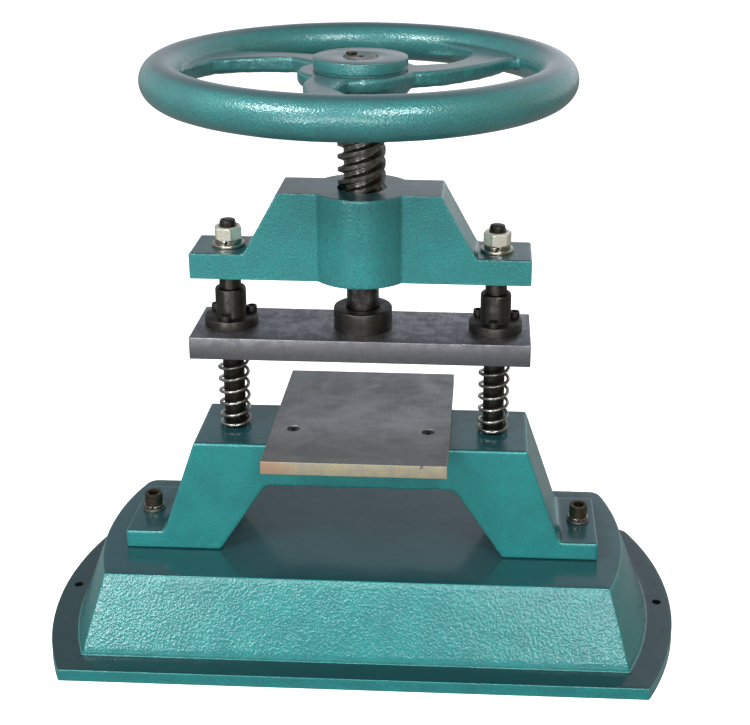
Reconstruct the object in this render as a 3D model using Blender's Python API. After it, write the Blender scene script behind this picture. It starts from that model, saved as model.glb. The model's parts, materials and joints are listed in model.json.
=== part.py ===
"""Hand-wheel screw press: a platen on two columns, driven down by a three-start screw.

The scene is in metres with +Z up. The origin is the middle of the base's underside
and the operator stands on the -Y side. Lengths here are in millimetres, and are
scaled once, when each mesh is built. The press is modelled with its platen raised.
"""

import math

import bmesh
import bpy
from mathutils import Matrix, Vector

MM = 0.001
FIT = 0.3  # clearance between parts that move or are threaded together
PAST = 1.0  # how far a cutter reaches past the face that it opens
SHARP_ANGLE = math.radians(35)

# Base casting: each outline is a disc cut by two straight sides.
FLANGE_RADIUS = 318.0
FLANGE_DEPTH = 147.0
FLANGE_THICK = 13.0
BLOCK_FOOT_RADIUS = 290.0
BLOCK_FOOT_DEPTH = 121.0
BLOCK_TOP_RADIUS = 263.0
BLOCK_TOP_DEPTH = 96.0
BASE_TOP = 88.0
BASE_FILLET = 7.0
BASE_WALL = 14.0
BOSS_UNDER = 46.0
BOSS_UNDER_RADIUS = 19.0
RIB_X = 95.0
RIB_HALF = 5.0
RIB_UNDER = 22.0
ANCHOR_X = 304.0
ANCHOR_RADIUS = 4.5

# Bridge casting, standing on the base.
BRIDGE_DEPTH = 47.0
FOOT_THICK = 19.0
FOOT_X = 236.0
LEG_OUT_LOW = 197.0
TABLE_X = 163.0
TABLE_Z = 206.0
LEG_IN_LOW = 141.0
ARCH_X = 93.0
ARCH_Z = 161.5
FOOT_BOLT_X = 218.0
FOOT_BOLT_LENGTH = 58.0

# Bed plate, lying on the bridge.
BED_X = 87.0
BED_DEPTH = 106.0
BED_TOP = 219.0
BED_SCREW_X = 66.0
BED_SCREW_Y = -35.0
BED_SCREW_LENGTH = 30.0
BED_SCREW_SINK = 1.2

# Columns.
COLUMN_X = 129.0
COLUMN_RADIUS = 10.5
STUD_RADIUS = 8.0
STUD_LOW = 168.0
STUD_HIGH = 421.0
FLAT_WASHER_THICK = 3.0
FLAT_WASHER_RADIUS = 15.9
SPRING_WASHER_THICK = 3.5
SPRING_WASHER_RADIUS = 12.8
NUT_ACROSS = 24.0
NUT_THICK = 13.0

# Upper beam casting.
BEAM_Z = 370.0
EAR_Z = 395.5
BEAM_TOP = 456.0
BEAM_X = 162.0
BEAM_DEPTH = 29.0
SLOPE_FOOT_X = 110.0
SLOPE_TOP_X = 77.0
BOSS_RADIUS = 49.0
NUT_RADIUS = 30.0
NUT_LOW = 371.5
NUT_TOP = 446.0
SET_SCREW_Z = 414.0
SET_SCREW_ANGLE = 90.0

# Platen.
PLATEN_Z = 293.0
PLATEN_TOP = 315.0
PLATEN_X = 163.0
PLATEN_DEPTH = 42.0

# Guide bushes and the three screws of each.
BUSH_RADIUS = 14.9
BUSH_FLANGE = 26.0
BUSH_FLANGE_THICK = 9.5
BUSH_TOP = 353.0
BUSH_SCREW_RING = 20.5
BUSH_SCREW_ANGLES = (25.0, 145.0, 265.0)

# Spindle and its thrust housing.
CREST_RADIUS = 22.7
ROOT_RADIUS = 16.9
SHAFT_RADIUS = 15.6
TOP_RADIUS = 15.8
COLLAR_RADIUS = 21.0
TIP_RADIUS = 10.0
TIP_Z = 318.8
SHOULDER_Z = 328.0
THREAD_PITCH = 12.3
THREAD_RISE = 2.3
THREAD_CREST = 4.0
STARTS = 3
THREAD_FROM = 376.0
THREAD_TO = 532.0
HUB_Z = 538.0
HUB_TOP = 580.0
CAP_RADIUS = 28.4
CAP_TOP = 336.0
CAP_SCREW_RING = 24.4

# Handwheel.
RIM_RADIUS = 180.8
RIM_SECTION = 19.2
RIM_Z = 563.0
DISC_RADIUS = 43.6
WEB_RADIUS = 55.0
SPOKE_TOP = 568.5
SPOKE_THICK = 17.0
SPOKE_FROM = 37.0
SPOKE_TURNS = (0.0, 121.0, 236.0)
KEY_ANGLE = 128.0
KEY_WIDTH = 8.0
GRUB_Z = 549.0
GRUB_ANGLE = 80.0
GRUB_RADIUS = 4.0

# Return springs.
COIL_RADIUS = 14.0
WIRE_RADIUS = 1.7
COILS = 8.0

# Finishes: base colour, metallic value and roughness.
FINISHES = {
    "green_enamel": ((0.035, 0.235, 0.24), 0.0, 0.28),
    "ground_steel": ((0.13, 0.135, 0.145), 0.9, 0.42),
    "black_steel": ((0.035, 0.034, 0.032), 0.8, 0.4),
    "bright_steel": ((0.55, 0.54, 0.48), 1.0, 0.32),
    "spring_steel": ((0.3, 0.29, 0.27), 1.0, 0.3),
    "bronze": ((0.34, 0.2, 0.09), 1.0, 0.35),
    "brown_steel": ((0.07, 0.055, 0.045), 0.9, 0.42),
}

# Rigid bodies: each has an empty on the axis that it slides or turns about.
BODIES = {"frame": (0.0, 0.0, 0.0), "platen": (0.0, 0.0, PLATEN_TOP), "spindle": (0.0, 0.0, HUB_Z)}


def clear_scene():
    for obj in list(bpy.data.objects):
        bpy.data.objects.remove(obj, do_unlink=True)


def make_bodies():
    """The empties that pieces hang from, and the finishes that they take."""
    for name, place in BODIES.items():
        empty = bpy.data.objects.new(name + "_body", None)
        empty.location = Vector(place) * MM
        bpy.context.scene.collection.objects.link(empty)
    for name, (colour, metallic, roughness) in FINISHES.items():
        finish = bpy.data.materials.new(name)
        finish.use_nodes = True
        shader = finish.node_tree.nodes["Principled BSDF"]
        shader.inputs["Base Color"].default_value = (*colour, 1.0)
        shader.inputs["Metallic"].default_value = metallic
        shader.inputs["Roughness"].default_value = roughness


def belongs(obj, body, finish):
    """Hangs a finished piece from its body's empty and gives it its material."""
    empty = bpy.data.objects[body + "_body"]
    obj.parent = empty
    obj.location -= empty.location
    obj.data.materials.append(bpy.data.materials[finish])
    return obj


def finish_mesh(name, mesh_data, at=(0.0, 0.0, 0.0)):
    """Merges, orients and links a bmesh that was built in millimetres."""
    bmesh.ops.remove_doubles(mesh_data, verts=mesh_data.verts, dist=1e-4)
    bmesh.ops.dissolve_degenerate(mesh_data, edges=mesh_data.edges, dist=1e-4)
    bmesh.ops.recalc_face_normals(mesh_data, faces=mesh_data.faces)
    bmesh.ops.scale(mesh_data, verts=mesh_data.verts, vec=(MM, MM, MM))
    mesh = bpy.data.meshes.new(name)
    mesh_data.to_mesh(mesh)
    mesh_data.free()
    mesh.shade_smooth()
    mesh.set_sharp_from_angle(angle=SHARP_ANGLE)
    obj = bpy.data.objects.new(name, mesh)
    obj.location = Vector(at) * MM
    bpy.context.scene.collection.objects.link(obj)
    return obj


def lofted(name, rings, capped=True, at=(0.0, 0.0, 0.0), bent=False):
    """Skins closed rings of equal count. Bent ends are closed with strips of small faces."""
    mesh_data = bmesh.new()
    rows = [[mesh_data.verts.new(point) for point in ring] for ring in rings]
    count = len(rows[0])
    pairs = list(zip(rows, rows[1:]))
    if not capped:
        pairs.append((rows[-1], rows[0]))
    for low, high in pairs:
        for i in range(count):
            j = (i + 1) % count
            mesh_data.faces.new((low[i], low[j], high[j], high[i]))
    for row in (rows[0], rows[-1]) if capped else ():
        if not bent:
            mesh_data.faces.new(row)
            continue
        for i in range(count // 2):
            corners = (row[i], row[i + 1], row[count - i - 1], row[-i])
            mesh_data.faces.new(dict.fromkeys(corners))
    return finish_mesh(name, mesh_data, at)


def turned(name, profile, at=(0.0, 0.0, 0.0), hollow=False, steps=24):
    """Turns a profile of (radius, z) pairs about Z. A hollow profile closes on itself."""
    mesh_data = bmesh.new()
    columns = []
    for i in range(steps):
        turn = 2 * math.pi * i / steps
        columns.append(
            [mesh_data.verts.new((r * math.cos(turn), r * math.sin(turn), z)) for r, z in profile]
        )
    last = len(profile) if hollow else len(profile) - 1
    for i in range(steps):
        one = columns[i]
        two = columns[(i + 1) % steps]
        for k in range(last):
            m = (k + 1) % len(profile)
            mesh_data.faces.new((one[k], two[k], two[m], one[m]))
    return finish_mesh(name, mesh_data, at)


def rod(name, radius, low, high, at=(0.0, 0.0), steps=18):
    """A plain upright cylinder, used as a cutter or as a boss."""
    profile = [(0.0, low), (radius, low), (radius, high), (0.0, high)]
    return turned(name, profile, (at[0], at[1], 0.0), steps=steps)


def prism(name, outline, low, high, axis="Z"):
    """Extrudes an outline along Z, or along Y when the outline holds (x, z) pairs."""
    if axis == "Z":
        rings = [[(a, b, level) for a, b in outline] for level in (low, high)]
    else:
        rings = [[(a, level, b) for a, b in outline] for level in (low, high)]
    return lofted(name, rings)


def rounded(corners, steps=4):
    """Rounds the corners (x, y, radius) of a polygon."""
    outline = []
    count = len(corners)
    for i, (x, y, radius) in enumerate(corners):
        if radius <= 0:
            outline.append((x, y))
            continue
        px, py, _ = corners[i - 1]
        nx, ny, _ = corners[(i + 1) % count]
        back = math.atan2(py - y, px - x)
        ahead = math.atan2(ny - y, nx - x)
        turn = (ahead - back + math.pi) % (2 * math.pi) - math.pi
        reach = radius / math.tan(abs(turn) / 2)
        middle = radius / math.sin(abs(turn) / 2)
        cx = x + middle * math.cos(back + turn / 2)
        cy = y + middle * math.sin(back + turn / 2)
        start = math.atan2(y + reach * math.sin(back) - cy, x + reach * math.cos(back) - cx)
        sweep = -math.copysign(math.pi - abs(turn), turn)
        for k in range(steps + 1):
            angle = start + sweep * k / steps
            outline.append((cx + radius * math.cos(angle), cy + radius * math.sin(angle)))
    return outline


def mirrored(half):
    """Completes an outline whose right half runs from one axis end to the other."""
    return half + [(-x, z, radius) for x, z, radius in reversed(half)]


def cut_disc(radius, depth, front=1.5, back=12.0, steps=7):
    """A disc of this radius cut at y = -depth and y = +depth, with eased corners."""
    outline = []
    for side, ease in ((1, back), (-1, front)):
        centre_y = depth - ease
        centre_x = math.sqrt((radius - ease) ** 2 - centre_y**2)
        tangent = math.atan2(centre_y, centre_x)
        corner = [tangent + (math.pi / 2 - tangent) * k / 3 for k in range(4)]
        arc = [tangent * k / steps for k in range(steps)]
        quarter = [(radius * math.cos(a), radius * math.sin(a)) for a in arc]
        quarter += [(centre_x + ease * math.cos(a), centre_y + ease * math.sin(a)) for a in corner]
        half = quarter + [(-x, y) for x, y in reversed(quarter[1:])]
        if side > 0:
            outline += half
        else:
            outline += [(-x, -y) for x, y in half]
    return outline


def boolean(target, other, operation="DIFFERENCE"):
    """Cuts or joins another object, which then no longer shows."""
    modifier = target.modifiers.new(other.name, "BOOLEAN")
    modifier.operation = operation
    modifier.solver = "EXACT"
    modifier.object = other
    other.hide_render = True
    other.display_type = "WIRE"
    return target


def together(name, pieces):
    """Puts several pieces that stand clear of each other into one mesh."""
    mesh_data = bmesh.new()
    for piece in pieces:
        piece.data.transform(Matrix.Translation(piece.location))
        mesh_data.from_mesh(piece.data)
        bpy.data.objects.remove(piece, do_unlink=True)
    mesh = bpy.data.meshes.new(name)
    mesh_data.to_mesh(mesh)
    mesh_data.free()
    obj = bpy.data.objects.new(name, mesh)
    bpy.context.scene.collection.objects.link(obj)
    return obj


def drill(target, cutters):
    """Cuts a set of separate holes in one operation."""
    return boolean(target, together(target.name + ".holes", cutters))


def hexagon(across, turn=0.0):
    radius = across / math.sqrt(3)
    angles = [math.radians(turn + 60 * k) for k in range(6)]
    return [(radius * math.cos(a), radius * math.sin(a)) for a in angles]


def cap_screw(name, at, seat, size, length, head_radius, head_height, key, body):
    """Socket head cap screw standing on z = seat."""
    r = size / 2
    top = seat + head_height
    profile = [
        (0.0, seat - length),
        (r - 0.6, seat - length),
        (r, seat - length + 0.6),
        (r, seat),
        (head_radius, seat),
        (head_radius, top - 0.6),
        (head_radius - 0.6, top),
        (0.0, top),
    ]
    screw = turned(name, profile, (at[0], at[1], 0.0), steps=16)
    socket = [(x + at[0], y + at[1]) for x, y in hexagon(key)]
    boolean(screw, prism(name + ".socket", socket, top - 0.5 * head_height, top + 1))
    return belongs(screw, body, "brown_steel" if body == "frame" else "black_steel")


def make_base():
    rings = []
    levels = [(FLANGE_RADIUS, FLANGE_DEPTH, 0.0), (FLANGE_RADIUS, FLANGE_DEPTH, FLANGE_THICK)]
    for k in range(3):
        angle = math.pi / 2 * k / 2
        out = BASE_FILLET * (1 - math.sin(angle)) * 0.8
        up = BASE_FILLET * (1 - math.cos(angle))
        levels.append((BLOCK_FOOT_RADIUS + out, BLOCK_FOOT_DEPTH + 0.15 * out, FLANGE_THICK + up))
    levels.append((BLOCK_TOP_RADIUS, BLOCK_TOP_DEPTH, BASE_TOP))
    for radius, depth, z in levels:
        rings.append([(x, y, z) for x, y in cut_disc(radius, depth)])
    base = lofted("base_casting", rings)

    hollow_top = BASE_TOP - BASE_WALL
    inside = []
    for radius, depth, z in (
        (BLOCK_FOOT_RADIUS - BASE_WALL, BLOCK_FOOT_DEPTH - BASE_WALL, -PAST),
        (BLOCK_TOP_RADIUS - BASE_WALL + 3, BLOCK_TOP_DEPTH - BASE_WALL + 3, hollow_top),
    ):
        inside.append([(x, y, z) for x, y in cut_disc(radius, depth, 8.0, 8.0)])
    boolean(base, lofted("base_hollow", inside))
    for side in (-1, 1):
        x = side * FOOT_BOLT_X
        high = hollow_top + 2 * PAST
        boss = rod(f"base_boss.{side}", BOSS_UNDER_RADIUS, BOSS_UNDER, high, (x, 0.0), 24)
        boolean(base, boss, "UNION")
        left = side * RIB_X - RIB_HALF
        right = side * RIB_X + RIB_HALF
        end = BLOCK_TOP_DEPTH
        rib = [(left, -end), (right, -end), (right, end), (left, end)]
        boolean(base, prism(f"base_rib.{side}", rib, RIB_UNDER, high), "UNION")
    holes = []
    for side in (-1, 1):
        at = (side * FOOT_BOLT_X, 0.0)
        holes.append(rod("thread", 6 + FIT, BOSS_UNDER - PAST, BASE_TOP + PAST, at, 16))
        anchor_top = FLANGE_THICK + BASE_FILLET
        holes.append(rod("anchor", ANCHOR_RADIUS, -PAST, anchor_top, (side * ANCHOR_X, 0.0)))
    drill(base, holes)
    return belongs(base, "frame", "green_enamel")


def make_bridge():
    foot_top = BASE_TOP + FOOT_THICK
    half = [
        (ARCH_X, ARCH_Z, 13.0),
        (LEG_IN_LOW, BASE_TOP, 2.5),
        (FOOT_X, BASE_TOP, 1.0),
        (FOOT_X, foot_top, 1.5),
        (LEG_OUT_LOW, foot_top, 6.0),
        (TABLE_X, TABLE_Z, 1.5),
    ]
    outline = rounded(mirrored(half))
    bridge = prism("bridge_casting", outline, -BRIDGE_DEPTH, BRIDGE_DEPTH, "Y")
    holes = []
    for side in (-1, 1):
        at = (side * FOOT_BOLT_X, 0.0)
        holes.append(rod("foot", 6.7, BASE_TOP - PAST, foot_top + PAST, at))
        at = (side * COLUMN_X, 0.0)
        holes.append(rod("stud", STUD_RADIUS + FIT, STUD_LOW - 2, TABLE_Z + PAST, at))
        at = (side * BED_SCREW_X, BED_SCREW_Y)
        holes.append(rod("thread", 3.0 + FIT, BED_TOP - BED_SCREW_LENGTH - 1, TABLE_Z + PAST, at, 16))
    drill(bridge, holes)
    return belongs(bridge, "frame", "green_enamel")


def make_bed():
    ease = 0.6
    rings = []
    for inset, z in ((ease, TABLE_Z), (0, TABLE_Z + ease), (0, BED_TOP - ease), (ease, BED_TOP)):
        x = BED_X - inset
        y = BED_DEPTH - inset
        rings.append([(-x, -y, z), (x, -y, z), (x, y, z), (-x, y, z)])
    bed = lofted("bed_plate", rings)
    holes = []
    for number, side in ((1, -1), (2, 1)):
        at = (side * BED_SCREW_X, BED_SCREW_Y, 0.0)
        sink = [
            (0.0, TABLE_Z - PAST),
            (3 + FIT, TABLE_Z - PAST),
            (3 + FIT, BED_TOP - 4.6),
            (6.0 + FIT, BED_TOP - 1.6),
            (6.0 + FIT, BED_TOP + PAST),
            (0.0, BED_TOP + PAST),
        ]
        holes.append(turned("sink", sink, at, steps=16))
        screw_top = BED_TOP - BED_SCREW_SINK
        profile = [
            (0.0, BED_TOP - BED_SCREW_LENGTH),
            (2.5, BED_TOP - BED_SCREW_LENGTH),
            (3.0, BED_TOP - BED_SCREW_LENGTH + 0.5),
            (3.0, screw_top - 3.5),
            (5.9, screw_top - 0.6),
            (5.9, screw_top),
            (0.0, screw_top),
        ]
        screw = turned(f"bed_screw_{number}", profile, at, steps=16)
        socket = [(x + at[0], y + at[1]) for x, y in hexagon(4.0, 20)]
        boolean(screw, prism(f"bed_screw_{number}.socket", socket, screw_top - 3.2, BED_TOP))
        belongs(screw, "frame", "black_steel")
    drill(bed, holes)
    return belongs(bed, "frame", "ground_steel")


def make_columns():
    nut_seat = EAR_Z + FLAT_WASHER_THICK + SPRING_WASHER_THICK
    nut_top = nut_seat + NUT_THICK
    for side, label in ((-1, "left"), (1, "right")):
        at = (side * COLUMN_X, 0.0, 0.0)
        profile = [
            (0.0, STUD_LOW),
            (STUD_RADIUS - 1.0, STUD_LOW),
            (STUD_RADIUS, STUD_LOW + 1.0),
            (STUD_RADIUS, TABLE_Z),
            (COLUMN_RADIUS, TABLE_Z),
            (COLUMN_RADIUS, BEAM_Z - 0.8),
            (COLUMN_RADIUS - 0.8, BEAM_Z),
            (STUD_RADIUS, BEAM_Z),
            (STUD_RADIUS, STUD_HIGH - 1.5),
            (STUD_RADIUS - 1.4, STUD_HIGH),
            (0.0, STUD_HIGH),
        ]
        belongs(turned(f"column_{label}", profile, at), "frame", "black_steel")
        name = f"column_flat_washer_{label}"
        flat_washer(name, at, STUD_RADIUS + 0.5, FLAT_WASHER_RADIUS, EAR_Z, FLAT_WASHER_THICK)
        low = EAR_Z + FLAT_WASHER_THICK
        name = f"column_spring_washer_{label}"
        split_washer(name, at, STUD_RADIUS + 0.4, SPRING_WASHER_RADIUS, low, SPRING_WASHER_THICK)
        nut = prism(f"column_nut_{label}", hexagon(NUT_ACROSS, 12 * side), nut_seat, nut_top)
        nut.location.x = at[0] * MM
        flat = NUT_ACROSS / 2
        crown = [
            (0.0, nut_seat),
            (flat + 0.4, nut_seat),
            (flat + 1.9, nut_seat + 1.0),
            (flat + 1.9, nut_top - 1.2),
            (flat + 0.2, nut_top),
            (0.0, nut_top),
        ]
        boolean(nut, turned(f"nut_crown.{label}", crown, at), "INTERSECT")
        bore = rod(f"nut_bore.{label}", STUD_RADIUS + FIT, nut_seat - PAST, nut_top + PAST, at[:2])
        boolean(nut, bore)
        belongs(nut, "frame", "bright_steel")


def flat_washer(name, at, inner, outer, low, thick):
    """A flat washer with its outer edges rolled over."""
    ease = 0.2 * thick
    profile = [
        (inner, low),
        (outer - ease, low),
        (outer, low + ease),
        (outer, low + thick - ease),
        (outer - ease, low + thick),
        (inner, low + thick),
    ]
    return belongs(turned(name, profile, at, hollow=True), "frame", "bright_steel")


def split_washer(name, at, inner, outer, low, thick):
    """A spring washer pressed flat, with its slanting cut facing the operator."""
    rings = []
    steps = 20
    slant = 0.05
    for i in range(steps + 1):
        turn = math.radians(-84 + 348 * i / steps)
        ring = []
        for radius, z, lean in (
            (inner, low, -slant),
            (outer, low, -slant),
            (outer, low + thick, slant),
            (inner, low + thick, slant),
        ):
            angle = turn + lean
            ring.append((radius * math.cos(angle), radius * math.sin(angle), z))
        rings.append(ring)
    return belongs(lofted(name, rings, at=at), "frame", "spring_steel")


def make_springs():
    steps = 12
    sides = 5
    low = TABLE_Z + WIRE_RADIUS
    high = PLATEN_Z - WIRE_RADIUS
    pitch = 2 * WIRE_RADIUS + 0.15
    free = COILS - 2.0
    for side, label in ((-1, "left"), (1, "right")):
        rings = []
        count = int(COILS * steps)
        for i in range(count + 1):
            turns = i / steps
            from_end = min(turns, COILS - turns)
            if from_end < 1.0:
                z = low + pitch * turns if turns < 1.0 else high - pitch * (COILS - turns)
            else:
                z = low + pitch + (high - low - 2 * pitch) * (turns - 1.0) / free
            angle = 2 * math.pi * turns
            ring = []
            for k in range(sides):
                around = 2 * math.pi * k / sides
                radius = COIL_RADIUS + WIRE_RADIUS * math.cos(around)
                up = z + WIRE_RADIUS * math.sin(around)
                ring.append((radius * math.cos(angle), radius * math.sin(angle), up))
            rings.append(ring)
        spring = lofted(f"return_spring_{label}", rings, at=(side * COLUMN_X, 0.0, 0.0))
        belongs(spring, "frame", "spring_steel")


def make_platen():
    ease = 0.8
    rings = []
    levels = ((ease, PLATEN_Z), (0, PLATEN_Z + ease), (0, PLATEN_TOP - ease), (ease, PLATEN_TOP))
    for inset, z in levels:
        x = PLATEN_X - inset
        y = PLATEN_DEPTH - inset
        rings.append([(-x, -y, z), (x, -y, z), (x, y, z), (-x, y, z)])
    platen = lofted("platen", rings)
    holes = []
    for side in (-1, 1):
        at = (side * COLUMN_X, 0.0)
        holes.append(rod("bush", BUSH_RADIUS + FIT, PLATEN_Z - PAST, PLATEN_TOP + PAST, at, 24))
        for angle in BUSH_SCREW_ANGLES:
            x, y = polar(BUSH_SCREW_RING, angle)
            place = (at[0] + x, y)
            holes.append(rod("thread", 3.0 + FIT, PLATEN_TOP - 14, PLATEN_TOP + PAST, place, 10))
    for k in range(4):
        place = polar(CAP_SCREW_RING, 45 + 90 * k)
        sink = [
            (0.0, PLATEN_Z - 2),
            (3.5 + FIT, PLATEN_Z - 2),
            (3.5 + FIT, PLATEN_Z + 5),
            (2.0 + FIT, PLATEN_Z + 5),
            (2.0 + FIT, PLATEN_TOP + 2),
            (0.0, PLATEN_TOP + 2),
        ]
        holes.append(turned("sink", sink, (place[0], place[1], 0.0), steps=12))
        profile = [
            (0.0, PLATEN_Z + 0.6),
            (3.2, PLATEN_Z + 0.6),
            (3.5, PLATEN_Z + 0.9),
            (3.5, PLATEN_Z + 5),
            (2.0, PLATEN_Z + 5),
            (2.0, PLATEN_TOP + 9.4),
            (1.6, PLATEN_TOP + 9.8),
            (0.0, PLATEN_TOP + 9.8),
        ]
        screw = turned(f"cap_screw_{k + 1}", profile, (place[0], place[1], 0.0), steps=14)
        socket = [(x + place[0], y + place[1]) for x, y in hexagon(3.0)]
        boolean(screw, prism(f"cap_screw_{k + 1}.socket", socket, PLATEN_Z, PLATEN_Z + 3.0))
        belongs(screw, "platen", "black_steel")
    drill(platen, holes)
    return belongs(platen, "platen", "ground_steel")


def polar(radius, degrees):
    return radius * math.cos(math.radians(degrees)), radius * math.sin(math.radians(degrees))


def make_bushes():
    for side, label in ((-1, "left"), (1, "right")):
        at = (side * COLUMN_X, 0.0, 0.0)
        flange_top = PLATEN_TOP + BUSH_FLANGE_THICK
        profile = [
            (COLUMN_RADIUS + FIT, PLATEN_Z),
            (BUSH_RADIUS, PLATEN_Z),
            (BUSH_RADIUS, PLATEN_TOP),
            (BUSH_FLANGE, PLATEN_TOP),
            (BUSH_FLANGE, flange_top - 1.0),
            (BUSH_FLANGE - 1.0, flange_top),
            (BUSH_RADIUS + 0.3, flange_top),
            (BUSH_RADIUS, flange_top + 0.3),
            (BUSH_RADIUS, BUSH_TOP - 2.5),
            (BUSH_RADIUS - 1.2, BUSH_TOP - 0.6),
            (BUSH_RADIUS - 2.2, BUSH_TOP),
            (COLUMN_RADIUS + 1.2, BUSH_TOP),
            (COLUMN_RADIUS + FIT, BUSH_TOP - 1.2),
        ]
        bush = turned(f"guide_bush_{label}", profile, at, hollow=True)
        holes = []
        for k, angle in enumerate(BUSH_SCREW_ANGLES):
            x, y = polar(BUSH_SCREW_RING, angle)
            place = (at[0] + x, y)
            holes.append(rod("hole", 3.0 + FIT, PLATEN_TOP - PAST, flange_top + PAST, place, 10))
            name = f"bush_screw_{label}_{k + 1}"
            cap_screw(name, place, flange_top, 6.0, 18.0, 5.0, 6.0, 5.0, "platen")
        drill(bush, holes)
        belongs(bush, "platen", "black_steel")


def make_thrust_housing():
    chamber = 20.5
    roof = SHOULDER_Z + 0.5
    cap = [
        (SHAFT_RADIUS + 0.5, roof),
        (chamber, roof),
        (chamber, PLATEN_TOP),
        (CAP_RADIUS, PLATEN_TOP),
        (CAP_RADIUS, CAP_TOP - 1.6),
        (CAP_RADIUS - 1.6, CAP_TOP),
        (SHAFT_RADIUS + 1.5, CAP_TOP),
        (SHAFT_RADIUS + 0.5, CAP_TOP - 1.0),
    ]
    housing = turned("thrust_cap", cap, hollow=True, steps=32)
    holes = []
    for k in range(4):
        place = polar(CAP_SCREW_RING, 45 + 90 * k)
        holes.append(rod("thread", 2.0 + FIT, PLATEN_TOP - PAST, PLATEN_TOP + 11, place, 10))
    drill(housing, holes)
    belongs(housing, "platen", "black_steel")
    outer = chamber - 0.7
    washer_top = TIP_Z - FIT
    washer = [
        (0.0, PLATEN_TOP),
        (outer - 0.4, PLATEN_TOP),
        (outer, PLATEN_TOP + 0.4),
        (outer, washer_top - 0.4),
        (outer - 0.4, washer_top),
        (0.0, washer_top),
    ]
    belongs(turned("thrust_washer", washer), "platen", "bronze")
    nut_low = SHOULDER_Z - 8.0
    nut = [
        (TIP_RADIUS + FIT, nut_low),
        (outer - 0.6, nut_low),
        (outer, nut_low + 0.6),
        (outer, SHOULDER_Z - 0.6),
        (outer - 0.6, SHOULDER_Z),
        (TIP_RADIUS + FIT, SHOULDER_Z),
    ]
    end_nut = turned("spindle_end_nut", nut, hollow=True)
    slots = []
    for k in range(4):
        x, y = polar(outer + 0.2, 90 * k)
        slot = [(x - 2, y - 2), (x + 2, y - 2), (x + 2, y + 2), (x - 2, y + 2)]
        slots.append(prism("slot", slot, nut_low - PAST, SHOULDER_Z + PAST))
    drill(end_nut, slots)
    belongs(end_nut, "spindle", "black_steel")


def make_spindle():
    """One skin from tip to top. Its threaded rows climb by one lead in each turn."""
    steps = 18
    lead = STARTS * THREAD_PITCH
    breaks = (
        (0.0, ROOT_RADIUS),
        (THREAD_RISE, CREST_RADIUS),
        (THREAD_RISE + THREAD_CREST, CREST_RADIUS),
        (2 * THREAD_RISE + THREAD_CREST, ROOT_RADIUS),
    )
    below = [
        (0.0, TIP_Z),
        (TIP_RADIUS - 0.6, TIP_Z),
        (TIP_RADIUS, TIP_Z + 0.6),
        (TIP_RADIUS, SHOULDER_Z),
        (SHAFT_RADIUS, SHOULDER_Z),
        (SHAFT_RADIUS, THREAD_FROM - 2.5),
        (ROOT_RADIUS, THREAD_FROM),
    ]
    above = [
        (ROOT_RADIUS, THREAD_TO),
        (COLLAR_RADIUS, THREAD_TO + 2.0),
        (COLLAR_RADIUS, HUB_Z),
        (TOP_RADIUS, HUB_Z),
        (TOP_RADIUS, HUB_TOP - 1.3),
        (TOP_RADIUS - 0.8, HUB_TOP - 0.5),
        (0.0, HUB_TOP - 0.5),
    ]
    periods = math.ceil((THREAD_TO - THREAD_FROM) / THREAD_PITCH) + STARTS
    mesh_data = bmesh.new()
    columns = []
    for i in range(steps + 1):
        turn = 2 * math.pi * i / steps
        rows = list(below)
        for n in range(-STARTS, periods):
            for offset, radius in breaks:
                z = THREAD_FROM + n * THREAD_PITCH + offset + lead * i / steps
                inside = min(max(z, THREAD_FROM), THREAD_TO)
                rows.append((radius if inside == z else ROOT_RADIUS, inside))
        rows += above
        columns.append(
            [mesh_data.verts.new((r * math.cos(turn), r * math.sin(turn), z)) for r, z in rows]
        )
    total = len(columns[0])
    for one, two in zip(columns, columns[1:]):
        for k in range(total - 1):
            mesh_data.faces.new((one[k], two[k], two[k + 1], one[k + 1]))
    return belongs(finish_mesh("spindle", mesh_data), "spindle", "black_steel")


def keyway(name, inner, outer, width, low, high):
    """An upright bar whose long face points along the key's angle."""
    turn = math.radians(KEY_ANGLE)
    corners = []
    for along, across in ((inner, -1), (outer, -1), (outer, 1), (inner, 1)):
        side = across * width / 2
        x = along * math.cos(turn) - side * math.sin(turn)
        y = along * math.sin(turn) + side * math.cos(turn)
        corners.append((x, y))
    return prism(name, corners, low, high)


def spoke_edges(radius):
    """Angles, in degrees, of the two edges of the first spoke at this radius."""
    reach = max(radius - 50.0, 0.0)
    root = max(95.0 - radius, 0.0) / 45
    near = -12 + 30 * (reach / 75) ** 0.8 - 8 * root
    far = 14 + 22 * (reach / 65) ** 1.1 + 12 * max(85.0 - radius, 0.0) / 35
    flare = max(radius - 145.0, 0.0) / 17
    return near - 4 * flare**1.5, far + 14 * flare**1.5


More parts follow.
